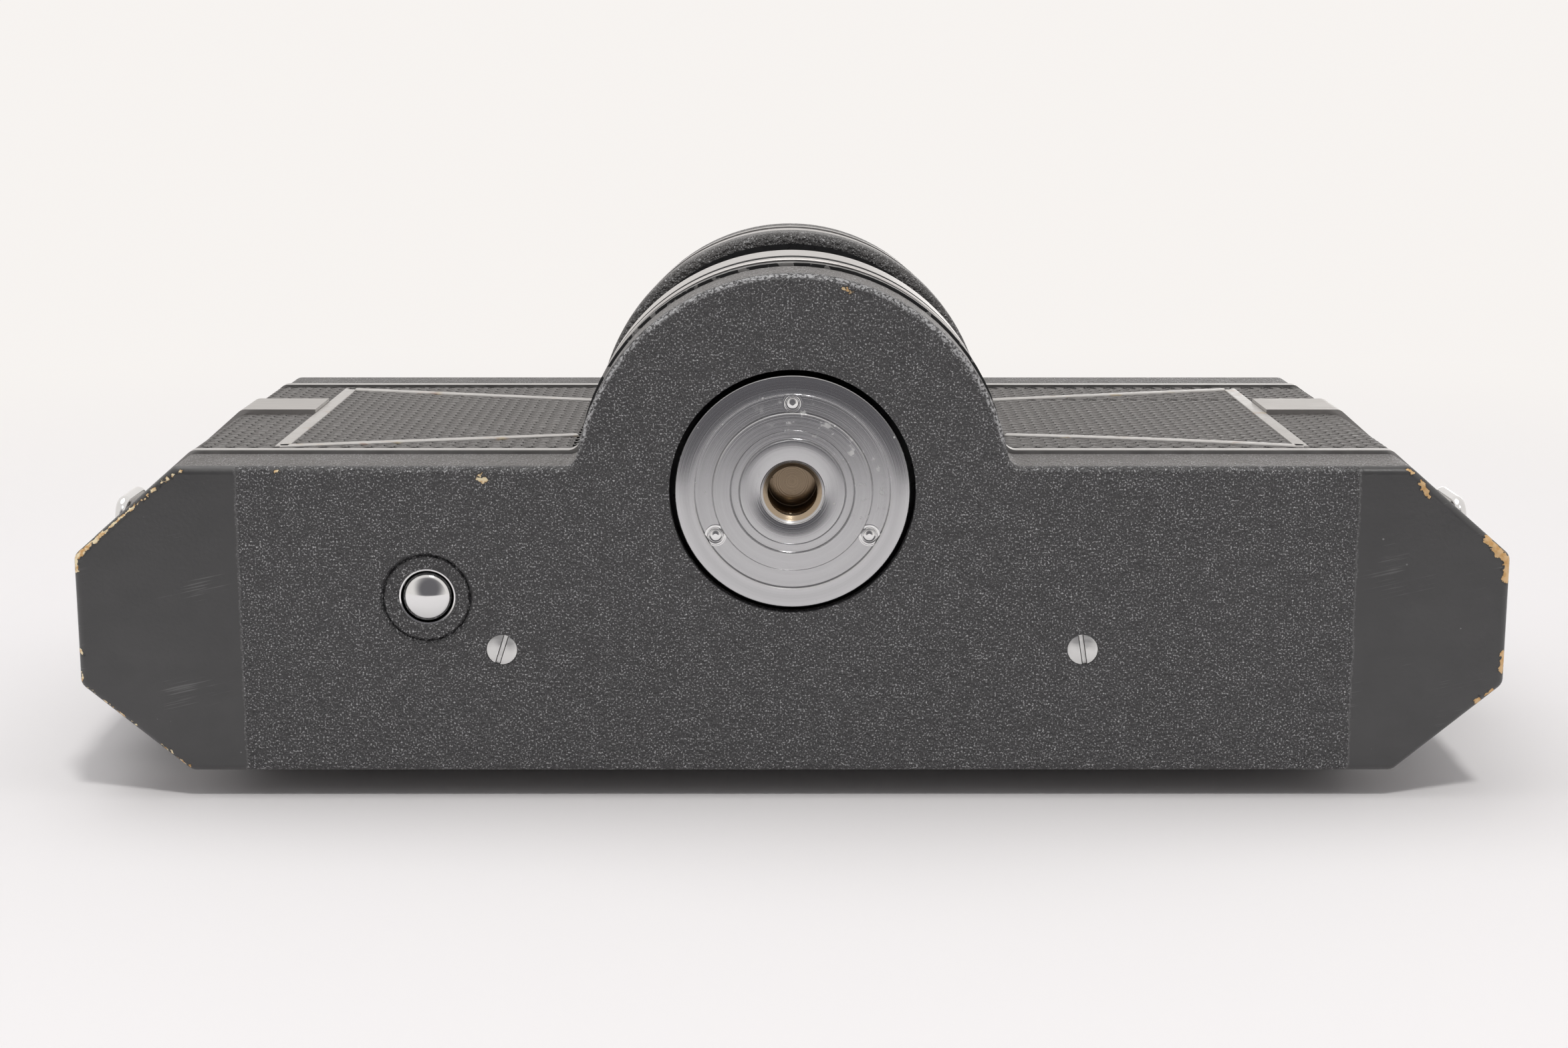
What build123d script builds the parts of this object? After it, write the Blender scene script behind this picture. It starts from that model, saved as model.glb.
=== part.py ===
from build123d import *
import math
import os

os.makedirs("parts", exist_ok=True)

# Swing-lens panoramic camera, upright: +Z is the camera's top and the lens looks along -Y.
# The origin is on the lens drum's axis, at the face of the bottom plate. Sizes are in mm.

# Body outline in plan: a long octagon with the round lens turret in front
end_room = 17.35
front_y = -2.65
rear_y = 30.06
front_cut = 10.85
rear_cut = 11.3
corner_front_y = 6.76
corner_rear_y = 20.64
corner_round = 1.2
turret_wall = 2.0
cover_neck = 1.4
body_neck = 3.0

# Levels from the bottom plate up
cover_rim = 8.3
seam_gap = 0.7
trim_height = 1.4
trim_proud = 0.3
trim_gap = 0.4
leather_gap = 1.65
top_cover_height = 8.0
body_height = 69.3
deck_thickness = 3.3
roof_thickness = 3.7

# Walls and clearances
cover_face = 1.6
cover_wall = 1.5
edge_round = 0.8
leather_thickness = 0.8
body_wall = 2.4
lip_wall = 1.2
lip_height = 1.7
fit_gap = 0.3
free_gap = 0.4
running_gap = 0.06
side_gap = 0.5

# Tripod socket: a turned disc with a 1/4 inch thread
disc_radius = 12.22
disc_gap = 0.6
disc_flange = 2.6
disc_groove_out = 10.21
disc_groove_in = 8.32
disc_groove_depth = 0.5
inner_groove_out = 6.44
inner_groove_in = 5.53
inner_groove_depth = 0.35
socket_radius = 3.175
socket_depth = 6.4
neck_radius = 5.2
neck_floor = 1.0
pin_circle = 9.25
pin_radius = 0.97
pin_count = 3

# Fasteners
screw_room = 4.5
screw_y = 16.8
screw_head = 1.65
screw_head_depth = 0.9
screw_shank = 1.0
screw_tip = 1.0
pillar_radius = 3.0
slot_width = 0.45
slot_depth = 0.4
left_slot_turn = 75.0
right_slot_turn = 98.0
top_slot_turn = 25.0
top_screw_room = 10.65
top_screw_rear_y = 25.0
top_screw_front_y = 1.9

# Lens drum
drum_radius = 20.2
drum_wall = 1.6
drum_roof = 2.0
drum_web = 10.4
pocket_half_width = 12.5
pocket_half_height = 9.4
lens_rise = 0.4
window_half_height = 10.0
window_back_y = -3.0
barrel_radius = 8.6
barrel_front_y = -15.8
barrel_back_y = -2.0
barrel_flange = 9.8
flange_thickness = 1.0
flange_half_height = 9.0
bezel_depth = 1.5
glass_radius = 5.6
glass_thickness = 2.6
glass_curve = 12.0
rear_glass_radius = 4.4
rear_glass_thickness = 3.0
pivot_radius = 3.0
bush_radius = 5.0
pivot_drop = 2.0

# Film gate behind the drum
film_radius = 26.0
gate_wall = 1.6
gate_front_y = 3.4
gate_half_angle = 65.0
gate_half_height = 12.2
slit_half_width = 0.6
slit_half_height = 12.0
mask_half_width = 3.0
mask_half_height = 13.5
mask_clearance = 0.3
mask_margin = 0.6

# Gears
gear_module = 0.5
gear_height = 1.6
gear_lift = 0.6
drum_teeth = 64
governor_teeth = 16
barrel_teeth = 32
wind_teeth = 45
sprocket_teeth = 33
post_radius = 1.2
governor_lift = 0.5
governor_disc = 7.0
governor_disc_height = 0.9
weight_radius = 1.8
weight_height = 1.2
weight_reach = 4.6
barrel_rim = 0.8
governor_angle = 40.0
barrel_angle = 131.8

# Film transport
sprocket_room = 12.3
sprocket_y = 11.3
sprocket_radius = 6.05
sprocket_core = 4.7
sprocket_points = 8
sprocket_land = 3.2
tooth_length = 1.0
tooth_width = 1.3
tooth_height = 1.8
perforation_pitch = 28.2
spool_core = 4.5
spool_flange = 10.5
spool_flange_height = 1.2
spool_socket = 12.0
spool_slot = 1.2
spool_slot_end = 5.0
roller_radius = 2.5
roller_pin = 0.9
roller_angle = 70.0
film_slack = 0.5

# Knobs and dials on the top cover
knob_lift = 0.7
wind_knob_radius = 11.5
wind_knob_height = 8.6
counter_radius = 7.4
counter_recess = 1.6
counter_sink = 0.2
wind_shaft_radius = 3.0
knob_seat = 3.0
counter_stem = 1.2
stem_bore_depth = 3.0
stem_depth = 2.6
rewind_knob_radius = 10.0
rewind_knob_height = 7.6
rewind_knob_roof = 2.0
rewind_shaft_radius = 2.4
fork_radius = 3.0
fork_drop = 4.6
fork_length = 5.2
fork_slot = 2.2
fork_slot_depth = 3.4
collar_radius = 4.4
collar_height = 1.2
dial_room = 13.0
dial_y = 19.0
dial_radius = 6.6
dial_height = 4.4
dial_line_radius = 5.0
dial_line = 0.4
dial_line_depth = 0.2
dial_stem = 1.6
dial_stem_length = 5.0
release_room = 8.0
release_y = 4.5
release_cap = 3.0
release_cap_height = 2.8
release_cap_round = 0.8
release_rod = 1.2
release_travel = 2.0
release_margin = 0.4
release_keeper = 2.8
release_keeper_height = 0.8
release_collar_radius = 4.8
release_collar_height = 3.2
finger_hollow = 6.0
finger_hollow_depth = 0.6

# Rewind release button in the bottom plate
dish_radius = 4.9
dish_throat = 3.3
dish_depth = 3.0
dish_boss = 4.6
button_radius = 2.7
button_flange = 3.9
button_flange_height = 0.8
button_sink = 0.1
button_round = 1.2
button_stem = 1.3
button_stem_length = 2.6
spring_pocket = 1.0
spring_wire = 0.3
spring_turns = 4
button_spring_radius = 2.3
release_spring_radius = 2.0

# Viewfinder housing
finder_half_width = 18.0
finder_front_half = 14.5
finder_front_y = -16.8
finder_shoulder_y = -9.5
finder_rear_y = 28.4
finder_height = 18.4
finder_wall = 1.5
finder_round = 1.2
finder_front_lean = 1.2
finder_front_drop = 2.2
finder_brow = 7.5
finder_tail = 9.0
finder_rear_lean = 1.4
finder_rear_drop = 3.2
finder_window_half = 11.4
finder_window_low = 4.2
finder_window_high = 15.0
finder_glass_sink = 1.4
finder_glass_thickness = 1.8
eyepiece_radius = 5.0
eyepiece_height = 9.6
eyepiece_wall = 1.0
eyepiece_flange = 1.6
eyepiece_depth = 3.0
eyepiece_glass_sink = 1.8
eyepiece_glass_thickness = 2.2
level_y = -6.5
level_radius = 4.6
level_wall = 1.0
level_depth = 3.0
level_proud = 0.4

# Back door, hinged at the end beside the winding knob
door_thickness = 1.6
door_gap = 0.3
door_raise = 2.54
door_root = 1.0
door_panel_margin = 13.0
hinge_out = 0.9
hinge_radius = 1.7
hinge_pin_radius = 0.8
knuckle_low_margin = 4.1
knuckle_high_margin = 3.3
knuckle_length = 10.0
hinge_root = 3.0
hinge_cutback = 1.0
pin_end = 0.4
latch_height = 8.0
latch_travel = 3.0
latch_offset = 2.4
latch_width = 3.2
latch_thickness = 1.4
tongue_offset = 3.2
tongue_width = 1.6
tongue_reach = 3.6
grip_lines = 5
grip_line_width = 0.6
grip_line_depth = 0.4
grip_margin = 1.2

# Trim on the leather
frame_proud = 0.4
frame_line = 1.5
frame_end_margin = 19.2
frame_turret_gap = 2.6
frame_low_margin = 0.4
frame_high_margin = 1.85
frame_inner_low = 18.4
frame_step = 0.2
band_proud = 0.8
band_height = 9.0
band_end = 2.4
turret_end = 2.1
turret_ring_gap = 3.2
turret_groove_low = 5.2
turret_groove_high = 7.0
turret_groove_depth = 0.1
leather_start = 0.2

# Strap lugs and rings
lug_out = 3.0
lug_rise = 5.0
lug_half = 1.6
lug_eye = 1.8
lug_shift = 1.5
ring_wire = 0.8
ring_half_width = 5.0
ring_drop = 9.0
ring_corner = 1.6

# Levels that follow from the sizes above
trim_low = cover_rim + seam_gap
leather_low = trim_low + trim_height
deck_top = cover_rim + deck_thickness
cover_inside = body_height - cover_face
top_rim = body_height - top_cover_height
upper_trim_low = top_rim - trim_gap - trim_height
leather_top = upper_trim_low - leather_gap
roof_level = top_rim - roof_thickness
neck_top = socket_depth + neck_floor
gear_level = top_rim + gear_lift
gear_top = gear_level + gear_height
drum_low = deck_top + side_gap
drum_high = roof_level - side_gap
lens_height = (deck_top + roof_level) / 2 + lens_rise
window_low = lens_height - window_half_height
window_high = lens_height + window_half_height
frame_low = leather_low + frame_low_margin
frame_high = leather_top - frame_high_margin
frame_inner_high = window_high + frame_step
lug_height = lens_height + lug_rise
knob_level = body_height + knob_lift

# Places in plan: the film's path sets the sprocket, the spools and so the body's ends
drum_bore = drum_radius + side_gap
turret_radius = drum_bore + turret_wall
core_radius = turret_radius - seam_gap
gate_inner = film_radius - gate_wall
end_y = (corner_front_y + corner_rear_y) / 2
spool_y = end_y
sprocket_x = -(film_radius + sprocket_room)
transport_distance = (wind_teeth + sprocket_teeth) * gear_module / 2
wind_x = sprocket_x - math.sqrt(transport_distance ** 2 - (spool_y - sprocket_y) ** 2)
transport_direction = math.degrees(math.atan2(sprocket_y - spool_y, sprocket_x - wind_x))
rewind_x = -wind_x
half_width = rewind_x + end_room
front_flat = half_width - front_cut
rear_flat = half_width - rear_cut
lug_y = end_y - lug_shift
lug_x = half_width + lug_out
screw_x = film_radius + screw_room
top_screw_x = rewind_x - top_screw_room
dial_x = finder_half_width + dial_room
release_x = -(finder_half_width + release_room)
door_panel_half = half_width - door_panel_margin
frame_outer_x = half_width - frame_end_margin
frame_inner_x = turret_radius + frame_turret_gap
hinge_x = -(half_width + hinge_out)
hinge_y = corner_rear_y + door_gap / 2
door_low = deck_top + door_gap
door_high = roof_level - door_gap
panel_y = rear_y - leather_thickness + door_raise
spring_seat = deck_top - spring_pocket
keeper_low = cover_inside - fit_gap - release_keeper_height
wind_top = knob_level + wind_knob_height
rewind_top = knob_level + rewind_knob_height
counter_floor = wind_top - counter_recess + fit_gap
flange_low = dish_boss + fit_gap
finder_top = body_height + finder_height
eyepiece_level = body_height + eyepiece_height
latch_level = (window_high + leather_top) / 2
knuckle_low = door_low + knuckle_low_margin
upper_knuckle_low = door_high - knuckle_high_margin - knuckle_length
roller_distance = film_radius + film_slack + roller_radius
roller_x = roller_distance * math.sin(math.radians(roller_angle))
roller_y = roller_distance * math.cos(math.radians(roller_angle))


def octagon(inset):
    half = [(front_flat, front_y), (half_width, corner_front_y),
            (half_width, corner_rear_y), (rear_flat, rear_y)]
    points = half + [(-x, y) for x, y in reversed(half)]
    face = make_face(Polyline(*points, close=True))
    if inset != 0:
        face = offset(face, amount=-inset, kind=Kind.INTERSECTION)
    return fillet(face.vertices(), corner_round)


def plan(inset, lobe, neck):
    face = octagon(inset) + Circle(lobe)
    corners = [v for v in face.vertices() if abs(v.Y - front_y - inset) < 0.01 and abs(v.X) < lobe]
    return fillet(corners, neck)


def slab(face, low, high):
    return extrude(Pos(0, 0, low) * face, amount=high - low)


def rod(radius, low, high, x=0.0, y=0.0):
    return Pos(x, y, (low + high) / 2) * Cylinder(radius, high - low)


def tube(outer, inner, low, high, x=0.0, y=0.0):
    return rod(outer, low, high, x, y) - rod(inner, low, high, x, y)


def block(x0, x1, y0, y1, z0, z1):
    return Pos((x0 + x1) / 2, (y0 + y1) / 2, (z0 + z1) / 2) * Box(x1 - x0, y1 - y0, z1 - z0)


def rod_along_y(radius, y0, y1, z, x=0.0):
    return Pos(x, (y0 + y1) / 2, z) * Rot(90, 0, 0) * Cylinder(radius, y1 - y0)


def mirrored(shape):
    return mirror(shape, about=Plane.YZ)


def pair(shape):
    return [shape, mirrored(shape)]


def save(name, shape):
    solids = shape if isinstance(shape, list) else [shape]
    pieces = [solid for item in solids for solid in item.solids()]
    result = pieces[0] if len(pieces) == 1 else Compound(children=pieces)
    export_step(result, f"parts/{name}.step")
    print(name, len(pieces), round(sum(piece.volume for piece in pieces), 1))


def gear_face(teeth, turn):
    pitch = teeth * gear_module / 2
    root = pitch - 1.15 * gear_module
    tip = pitch + 0.9 * gear_module
    step = 360 / teeth
    points = []
    for index in range(teeth):
        for radius, share in ((root, -0.33), (tip, -0.10), (tip, 0.10), (root, 0.33)):
            angle = math.radians(turn + (index + share) * step)
            points.append((radius * math.cos(angle), radius * math.sin(angle)))
    return make_face(Polyline(*points, close=True))


def mesh_turn(followed_teeth, followed_turn, teeth, direction):
    # The turn that puts a gap of the follower over a tooth of the followed gear
    lead = (followed_turn - direction) % (360 / followed_teeth)
    return direction + 180 - lead * followed_teeth / teeth - 180 / teeth


def knurled(radius, low, high, x, y, count, depth=0.35, chamfer_size=0.5):
    points = []
    for index in range(2 * count):
        angle = math.pi * index / count
        reach = radius if index % 2 == 0 else radius - depth
        points.append((x + reach * math.cos(angle), y + reach * math.sin(angle)))
    grip = slab(make_face(Polyline(*points, close=True)), low, high)
    blank = rod(radius, low, high, x, y)
    return grip & chamfer(blank.edges().filter_by(GeomType.CIRCLE), chamfer_size)


def coil_spring(radius, wire, low, high, turns, x, y):
    path = Pos(x, y, low) * Helix(pitch=(high - low) / turns, height=high - low, radius=radius)
    section = Plane(origin=path @ 0, z_dir=path % 0) * Circle(wire)
    return sweep(section, path=path, is_frenet=True)


def cover_screw(head_low, shank_low, shank_high, slot_level, x, y, turn):
    # A slotted countersunk screw; the slot is in the head's outer face
    slot = Pos(x, y, slot_level) * Rot(0, 0, turn) * Box(3 * screw_head, slot_width, 2 * slot_depth)
    head = rod(screw_head, head_low, head_low + screw_head_depth, x, y) - slot
    return head + rod(screw_shank, shank_low, shank_high, x, y)


# Covers

def bottom_cover():
    shell = slab(plan(0, turret_radius, cover_neck), 0, cover_rim)
    shell = fillet(shell.edges().group_by(Axis.Z)[0], edge_round)
    inner = plan(cover_wall, turret_radius - cover_wall, cover_neck + cover_wall)
    shell -= slab(inner, cover_face, cover_rim)
    shell += rod(dish_radius + cover_face, cover_face, dish_boss, sprocket_x, sprocket_y)
    dish = Pos(sprocket_x, sprocket_y, dish_depth / 2) * Cone(dish_radius, dish_throat, dish_depth)
    shell -= dish
    shell -= rod(button_radius + fit_gap, 0, dish_boss, sprocket_x, sprocket_y)
    shell -= rod(disc_radius + disc_gap, 0, cover_face)
    for x in (-screw_x, screw_x):
        shell -= rod(screw_head, 0, screw_head_depth, x, screw_y)
        shell -= rod(screw_shank + fit_gap, 0, cover_face, x, screw_y)
    return shell


def top_cover():
    shell = slab(plan(0, turret_radius, cover_neck), top_rim, body_height)
    shell = fillet(shell.edges().group_by(Axis.Z)[-1], edge_round)
    inner = plan(cover_wall, turret_radius - cover_wall, cover_neck + cover_wall)
    shell -= slab(inner, top_rim, cover_inside)
    holes = [
        (wind_x, spool_y, wind_shaft_radius + free_gap),
        (rewind_x, spool_y, rewind_shaft_radius + fit_gap),
        (-dial_x, dial_y, dial_stem + running_gap),
        (dial_x, dial_y, dial_stem + running_gap),
        (release_x, release_y, release_rod + fit_gap),
    ]
    for x, y, radius in holes:
        shell -= rod(radius, cover_inside, body_height, x, y)
    for x, y in top_screw_places():
        shell -= rod(screw_head, body_height - screw_head_depth, body_height, x, y)
        shell -= rod(screw_shank + fit_gap, cover_inside, body_height, x, y)
    return shell


def top_screw_places():
    return [(side * top_screw_x, y) for side in (-1, 1) for y in (top_screw_front_y, top_screw_rear_y)]


# Body casting with its decks, drum housing and film chambers

def locating_lip(low, high):
    gap = cover_wall + fit_gap
    outer = plan(gap, turret_radius - gap, cover_neck + gap)
    inner = plan(gap + lip_wall, turret_radius - gap - lip_wall, cover_neck + gap + lip_wall)
    return slab(outer, low, high) - slab(inner, low, high)


def body_casting():
    body = slab(plan(leather_thickness, core_radius, body_neck), cover_rim, top_rim)
    body -= slab(octagon(leather_thickness + body_wall), deck_top, roof_level)
    body -= block(-half_width, half_width, corner_rear_y, rear_y, deck_top, roof_level)
    housing_y = front_y + leather_thickness + body_wall - fit_gap
    housing_half = film_radius + drum_wall
    body += block(-housing_half, housing_half, housing_y, gate_front_y, deck_top, roof_level)
    body -= rod(drum_bore, deck_top, roof_level)
    reach = 2 * turret_radius
    body -= block(-reach, reach, -reach, window_back_y, window_low, window_high)
    body += locating_lip(cover_rim - lip_height, cover_rim)
    body += locating_lip(top_rim, top_rim + lip_height)
    # Boss for the tripod disc and pillars for the cover screws
    body += rod(disc_radius - fit_gap, disc_flange, cover_rim)
    body -= rod(neck_radius, disc_flange, cover_rim)
    for x, y in pin_places():
        body -= rod(pin_radius, disc_flange, cover_rim, x, y)
    for x in (-screw_x, screw_x):
        body += tube(pillar_radius, screw_shank, cover_face, cover_rim, x, screw_y)
    for x, y in top_screw_places():
        body += tube(pillar_radius, screw_shank, top_rim, cover_inside, x, y)
    # Bearing and shaft holes through the decks
    body -= rod(bush_radius, cover_rim, deck_top)
    body -= rod(bush_radius, roof_level, top_rim)
    body -= rod(wind_shaft_radius + running_gap, roof_level, top_rim, wind_x, spool_y)
    body -= rod(pivot_radius / 2 + running_gap, cover_rim, deck_top, wind_x, spool_y)
    body -= rod(post_radius + running_gap, roof_level, top_rim, sprocket_x, sprocket_y)
    body -= rod(post_radius + running_gap, cover_rim, deck_top, sprocket_x, sprocket_y)
    body -= rod(button_flange - fit_gap, cover_rim, spring_seat, sprocket_x, sprocket_y)
    body -= rod(fork_radius + fit_gap, roof_level, top_rim, rewind_x, spool_y)
    # Hinge leaf and middle knuckle
    middle_low = knuckle_low + knuckle_length + door_gap
    middle_high = upper_knuckle_low - door_gap
    body += block(hinge_x, leather_thickness + body_wall - half_width, hinge_y - hinge_radius, corner_rear_y,
                  middle_low, middle_high)
    body += rod(hinge_radius, middle_low, middle_high, hinge_x, hinge_y)
    body -= rod(hinge_pin_radius, middle_low, middle_high, hinge_x, hinge_y)
    for low in knuckle_lows():
        high = low + knuckle_length + door_gap
        body -= rod(hinge_radius + fit_gap, low - door_gap, high, hinge_x, hinge_y)
    body -= latch_slot()
    return body


def pin_places():
    turns = [math.radians(90 + index * 360 / pin_count) for index in range(pin_count)]
    return [(pin_circle * math.cos(turn), -pin_circle * math.sin(turn)) for turn in turns]


def knuckle_lows():
    return [knuckle_low, upper_knuckle_low]


def hinge_span(margin):
    return knuckle_low - margin, upper_knuckle_low + knuckle_length + margin


def latch_slot():
    # Room in the end wall for the latch's tongue over its whole travel
    near = end_y + tongue_offset - fit_gap
    far = near + tongue_width + 2 * fit_gap
    low = latch_level - latch_height / 4 - fit_gap
    high = latch_level + latch_height / 4 + fit_gap + latch_travel
    return block(half_width - tongue_reach - fit_gap, lug_x, near, far, low, high)


# Leather, trim bands and frames

def trim_ring(low):
    outer = plan(-trim_proud, turret_radius + trim_proud, cover_neck)
    inner = plan(leather_thickness, core_radius, body_neck)
    return slab(outer, low, low + trim_height) - slab(inner, low, low + trim_height)


def leather_side():
    skin = slab(octagon(0) - octagon(leather_thickness), leather_low, leather_top)
    start = frame_inner_x + leather_start
    return skin & block(start, lug_x, 2 * front_y, corner_rear_y - fit_gap, 0, body_height)


def leather_right():
    return leather_side() - latch_slot()


def leather_left():
    low, high = hinge_span(hinge_cutback)
    return mirrored(leather_side()) - block(-lug_x, 0, hinge_y - hinge_radius - fit_gap, rear_y, low, high)


def bar(x0, low0, x1, low1, width):
    # A flat bar on the front leather between two places, its height measured upright
    face = make_face(Polyline((x0, low0), (x1, low1), (x1, low1 + width), (x0, low0 + width), close=True))
    return extrude(Plane.XZ.offset(-front_y) * face, amount=frame_proud)


def frame_right():
    upper = bar(frame_inner_x, frame_inner_high, frame_outer_x, frame_high - frame_line, frame_line)
    lower = bar(frame_inner_x, frame_inner_low, frame_outer_x, frame_low, frame_line)
    inner_x, near = frame_outer_x - frame_line, front_y - frame_proud
    return upper + lower + block(inner_x, frame_outer_x, near, front_y, frame_low, frame_high)


def side_band():
    band = slab(octagon(-band_proud) - octagon(0), lens_height, lens_height + band_height)
    return band & block(frame_outer_x, lug_x, 2 * front_y, end_y + band_end, 0, body_height)


def turret_ring(low, high):
    ring = tube(turret_radius + trim_proud, core_radius, low, high)
    reach = 2 * turret_radius
    return ring & block(-reach, reach, -reach, front_y - turret_end, 0, body_height)


def turret_ring_lower():
    ring = turret_ring(leather_low + turret_ring_gap, window_low)
    low, high = leather_low + turret_groove_low, leather_low + turret_groove_high
    return ring - tube(2 * turret_radius, turret_radius - turret_groove_depth, low, high)


def turret_ring_upper():
    return turret_ring(window_high, upper_trim_low - fit_gap)


# Tripod disc and screws

def tripod_disc():
    disc = rod(disc_radius, 0, disc_flange) + rod(neck_radius, disc_flange, neck_top)
    disc -= tube(disc_groove_out, disc_groove_in, 0, disc_groove_depth)
    disc -= tube(inner_groove_out, inner_groove_in, 0, inner_groove_depth)
    disc -= rod(socket_radius, 0, socket_depth)
    for x, y in pin_places():
        disc -= rod(pin_radius, 0, disc_flange, x, y)
    return disc


def disc_screws():
    return [rod(pin_radius, disc_groove_depth / 2, cover_rim - screw_tip, x, y) for x, y in pin_places()]


def cover_screws():
    tip = cover_rim - screw_tip
    return [cover_screw(0, screw_head_depth, tip, 0, x, screw_y, turn)
            for x, turn in ((-screw_x, left_slot_turn), (screw_x, right_slot_turn))]


def top_screws():
    head_low = body_height - screw_head_depth
    return [cover_screw(head_low, top_rim + screw_tip, head_low, body_height, x, y, top_slot_turn)
            for x, y in top_screw_places()]


# Lens drum and what turns with it

def lens_drum():
    drum = rod(drum_radius, drum_low, drum_high)
    hollow = rod(drum_radius - drum_wall, drum_low, drum_high - drum_roof)
    web = block(-drum_web, drum_web, -drum_radius, drum_radius, drum_low, drum_high)
    drum -= hollow - web
    drum -= block(-pocket_half_width, pocket_half_width, -2 * drum_radius, barrel_front_y,
                  lens_height - pocket_half_height, lens_height + pocket_half_height)
    drum -= rod_along_y(barrel_radius, barrel_front_y, barrel_back_y, lens_height)
    light_half = mask_half_width - mask_margin
    drum -= block(-light_half, light_half, barrel_back_y, drum_radius,
                  lens_height - gate_half_height, lens_height + gate_half_height)
    return drum - mask_box(film_radius)


def mask_box(rear):
    return block(-mask_half_width, mask_half_width, drum_radius - drum_wall, rear,
                 lens_height - mask_half_height, lens_height + mask_half_height)


def slit_mask():
    mask = mask_box(film_radius) & rod(gate_inner - mask_clearance, drum_low, drum_high)
    slot = block(-slit_half_width, slit_half_width, drum_radius - drum_wall, film_radius,
                 lens_height - slit_half_height, lens_height + slit_half_height)
    return mask - slot


def lens_barrel():
    barrel = rod_along_y(barrel_radius, barrel_front_y, barrel_back_y, lens_height)
    face = barrel_front_y - flange_thickness
    barrel += rod_along_y(barrel_flange, face, barrel_front_y, lens_height) & block(
        -barrel_flange, barrel_flange, face, barrel_front_y,
        lens_height - flange_half_height, lens_height + flange_half_height)
    barrel -= rod_along_y(glass_radius, face, front_glass_back(), lens_height)
    barrel -= rod_along_y(rear_glass_radius, barrel_front_y, barrel_back_y, lens_height)
    bezel = Rot(-90, 0, 0) * Cone(glass_radius + bezel_depth, glass_radius, bezel_depth)
    return barrel - Pos(0, face + bezel_depth / 2, lens_height) * bezel


def front_glass_back():
    return barrel_front_y + bezel_depth + glass_thickness


def lens_front_glass():
    back = front_glass_back()
    dome = Pos(0, back - glass_thickness + glass_curve, lens_height) * Rot(90, 0, 0) * Sphere(glass_curve)
    return rod_along_y(glass_radius, back - glass_thickness, back, lens_height) & dome


def lens_rear_glass():
    dome = Pos(0, barrel_back_y - glass_curve, lens_height) * Rot(90, 0, 0) * Sphere(glass_curve)
    front = barrel_back_y - rear_glass_thickness
    return rod_along_y(rear_glass_radius, front, barrel_back_y, lens_height) & dome


def drum_pivots():
    spans = [(neck_top + fit_gap, drum_low), (drum_high, cover_inside - pivot_drop)]
    return [rod(pivot_radius, low, high) for low, high in spans]


def drum_bushes():
    bore = pivot_radius + running_gap
    return [tube(bush_radius, bore, cover_rim, deck_top), tube(bush_radius, bore, roof_level, top_rim)]


def drum_gear():
    gear = slab(gear_face(drum_teeth, governor_angle), gear_level, gear_top)
    return gear - rod(pivot_radius, gear_level, gear_top)


def at_angle(distance, angle):
    turn = math.radians(angle)
    return distance * math.cos(turn), distance * math.sin(turn)


def governor_place():
    return at_angle((drum_teeth + governor_teeth) * gear_module / 2, governor_angle)


def barrel_place():
    return at_angle((drum_teeth + barrel_teeth) * gear_module / 2, barrel_angle)


def governor_rotor():
    x, y = governor_place()
    turn = mesh_turn(drum_teeth, governor_angle, governor_teeth, governor_angle)
    disc_low = gear_top + governor_lift
    disc_high = disc_low + governor_disc_height
    rotor = Pos(x, y, 0) * slab(gear_face(governor_teeth, turn), gear_level, disc_low)
    rotor += rod(governor_disc, disc_low, disc_high, x, y)
    for side in (-1, 1):
        rotor += rod(weight_radius, disc_high, disc_high + weight_height, x + side * weight_reach, y)
    return rotor - rod(post_radius + running_gap, 0, body_height, x, y)


def spring_barrel():
    x, y = barrel_place()
    turn = mesh_turn(drum_teeth, governor_angle, barrel_teeth, barrel_angle)
    barrel = Pos(x, y, 0) * slab(gear_face(barrel_teeth, turn), gear_level, gear_top)
    barrel += rod(barrel_teeth * gear_module / 2 - barrel_rim, gear_top, cover_inside - barrel_rim, x, y)
    return barrel - rod(post_radius + running_gap, 0, body_height, x, y)


def gear_posts():
    return [rod(post_radius, top_rim, cover_inside, x, y) for x, y in (governor_place(), barrel_place())]


# Film gate, sprocket, spools and rollers

def film_gate():
    gate = tube(film_radius, gate_inner, deck_top, roof_level)
    gate &= block(-film_radius, film_radius, gate_front_y, film_radius, deck_top, roof_level)
    reach = 3 * film_radius
    turn = math.radians(gate_half_angle)
    corner = (reach * math.sin(turn), reach * math.cos(turn))
    fan = make_face(Polyline((0, 0), corner, (0, reach), (-corner[0], corner[1]), close=True))
    return gate - slab(fan, lens_height - gate_half_height, lens_height + gate_half_height)


def sprocket():
    low = deck_top + free_gap
    high = roof_level - free_gap
    drum = rod(sprocket_core, low, high)
    for side in (-1, 1):
        middle = lens_height + side * perforation_pitch / 2
        drum += rod(sprocket_radius, middle - sprocket_land / 2, middle + sprocket_land / 2)
        for index in range(sprocket_points):
            tooth = Pos(sprocket_radius, 0, middle) * Box(2 * tooth_length, tooth_width, tooth_height)
            drum += Rot(0, 0, index * 360 / sprocket_points) * tooth
    drum += rod(post_radius, high, gear_level) + rod(post_radius, spring_seat + fit_gap, low)
    turn = mesh_turn(wind_teeth, transport_direction, sprocket_teeth, transport_direction)
    drum += slab(gear_face(sprocket_teeth, turn), gear_level, gear_top)
    return Pos(sprocket_x, sprocket_y, 0) * drum


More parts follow.
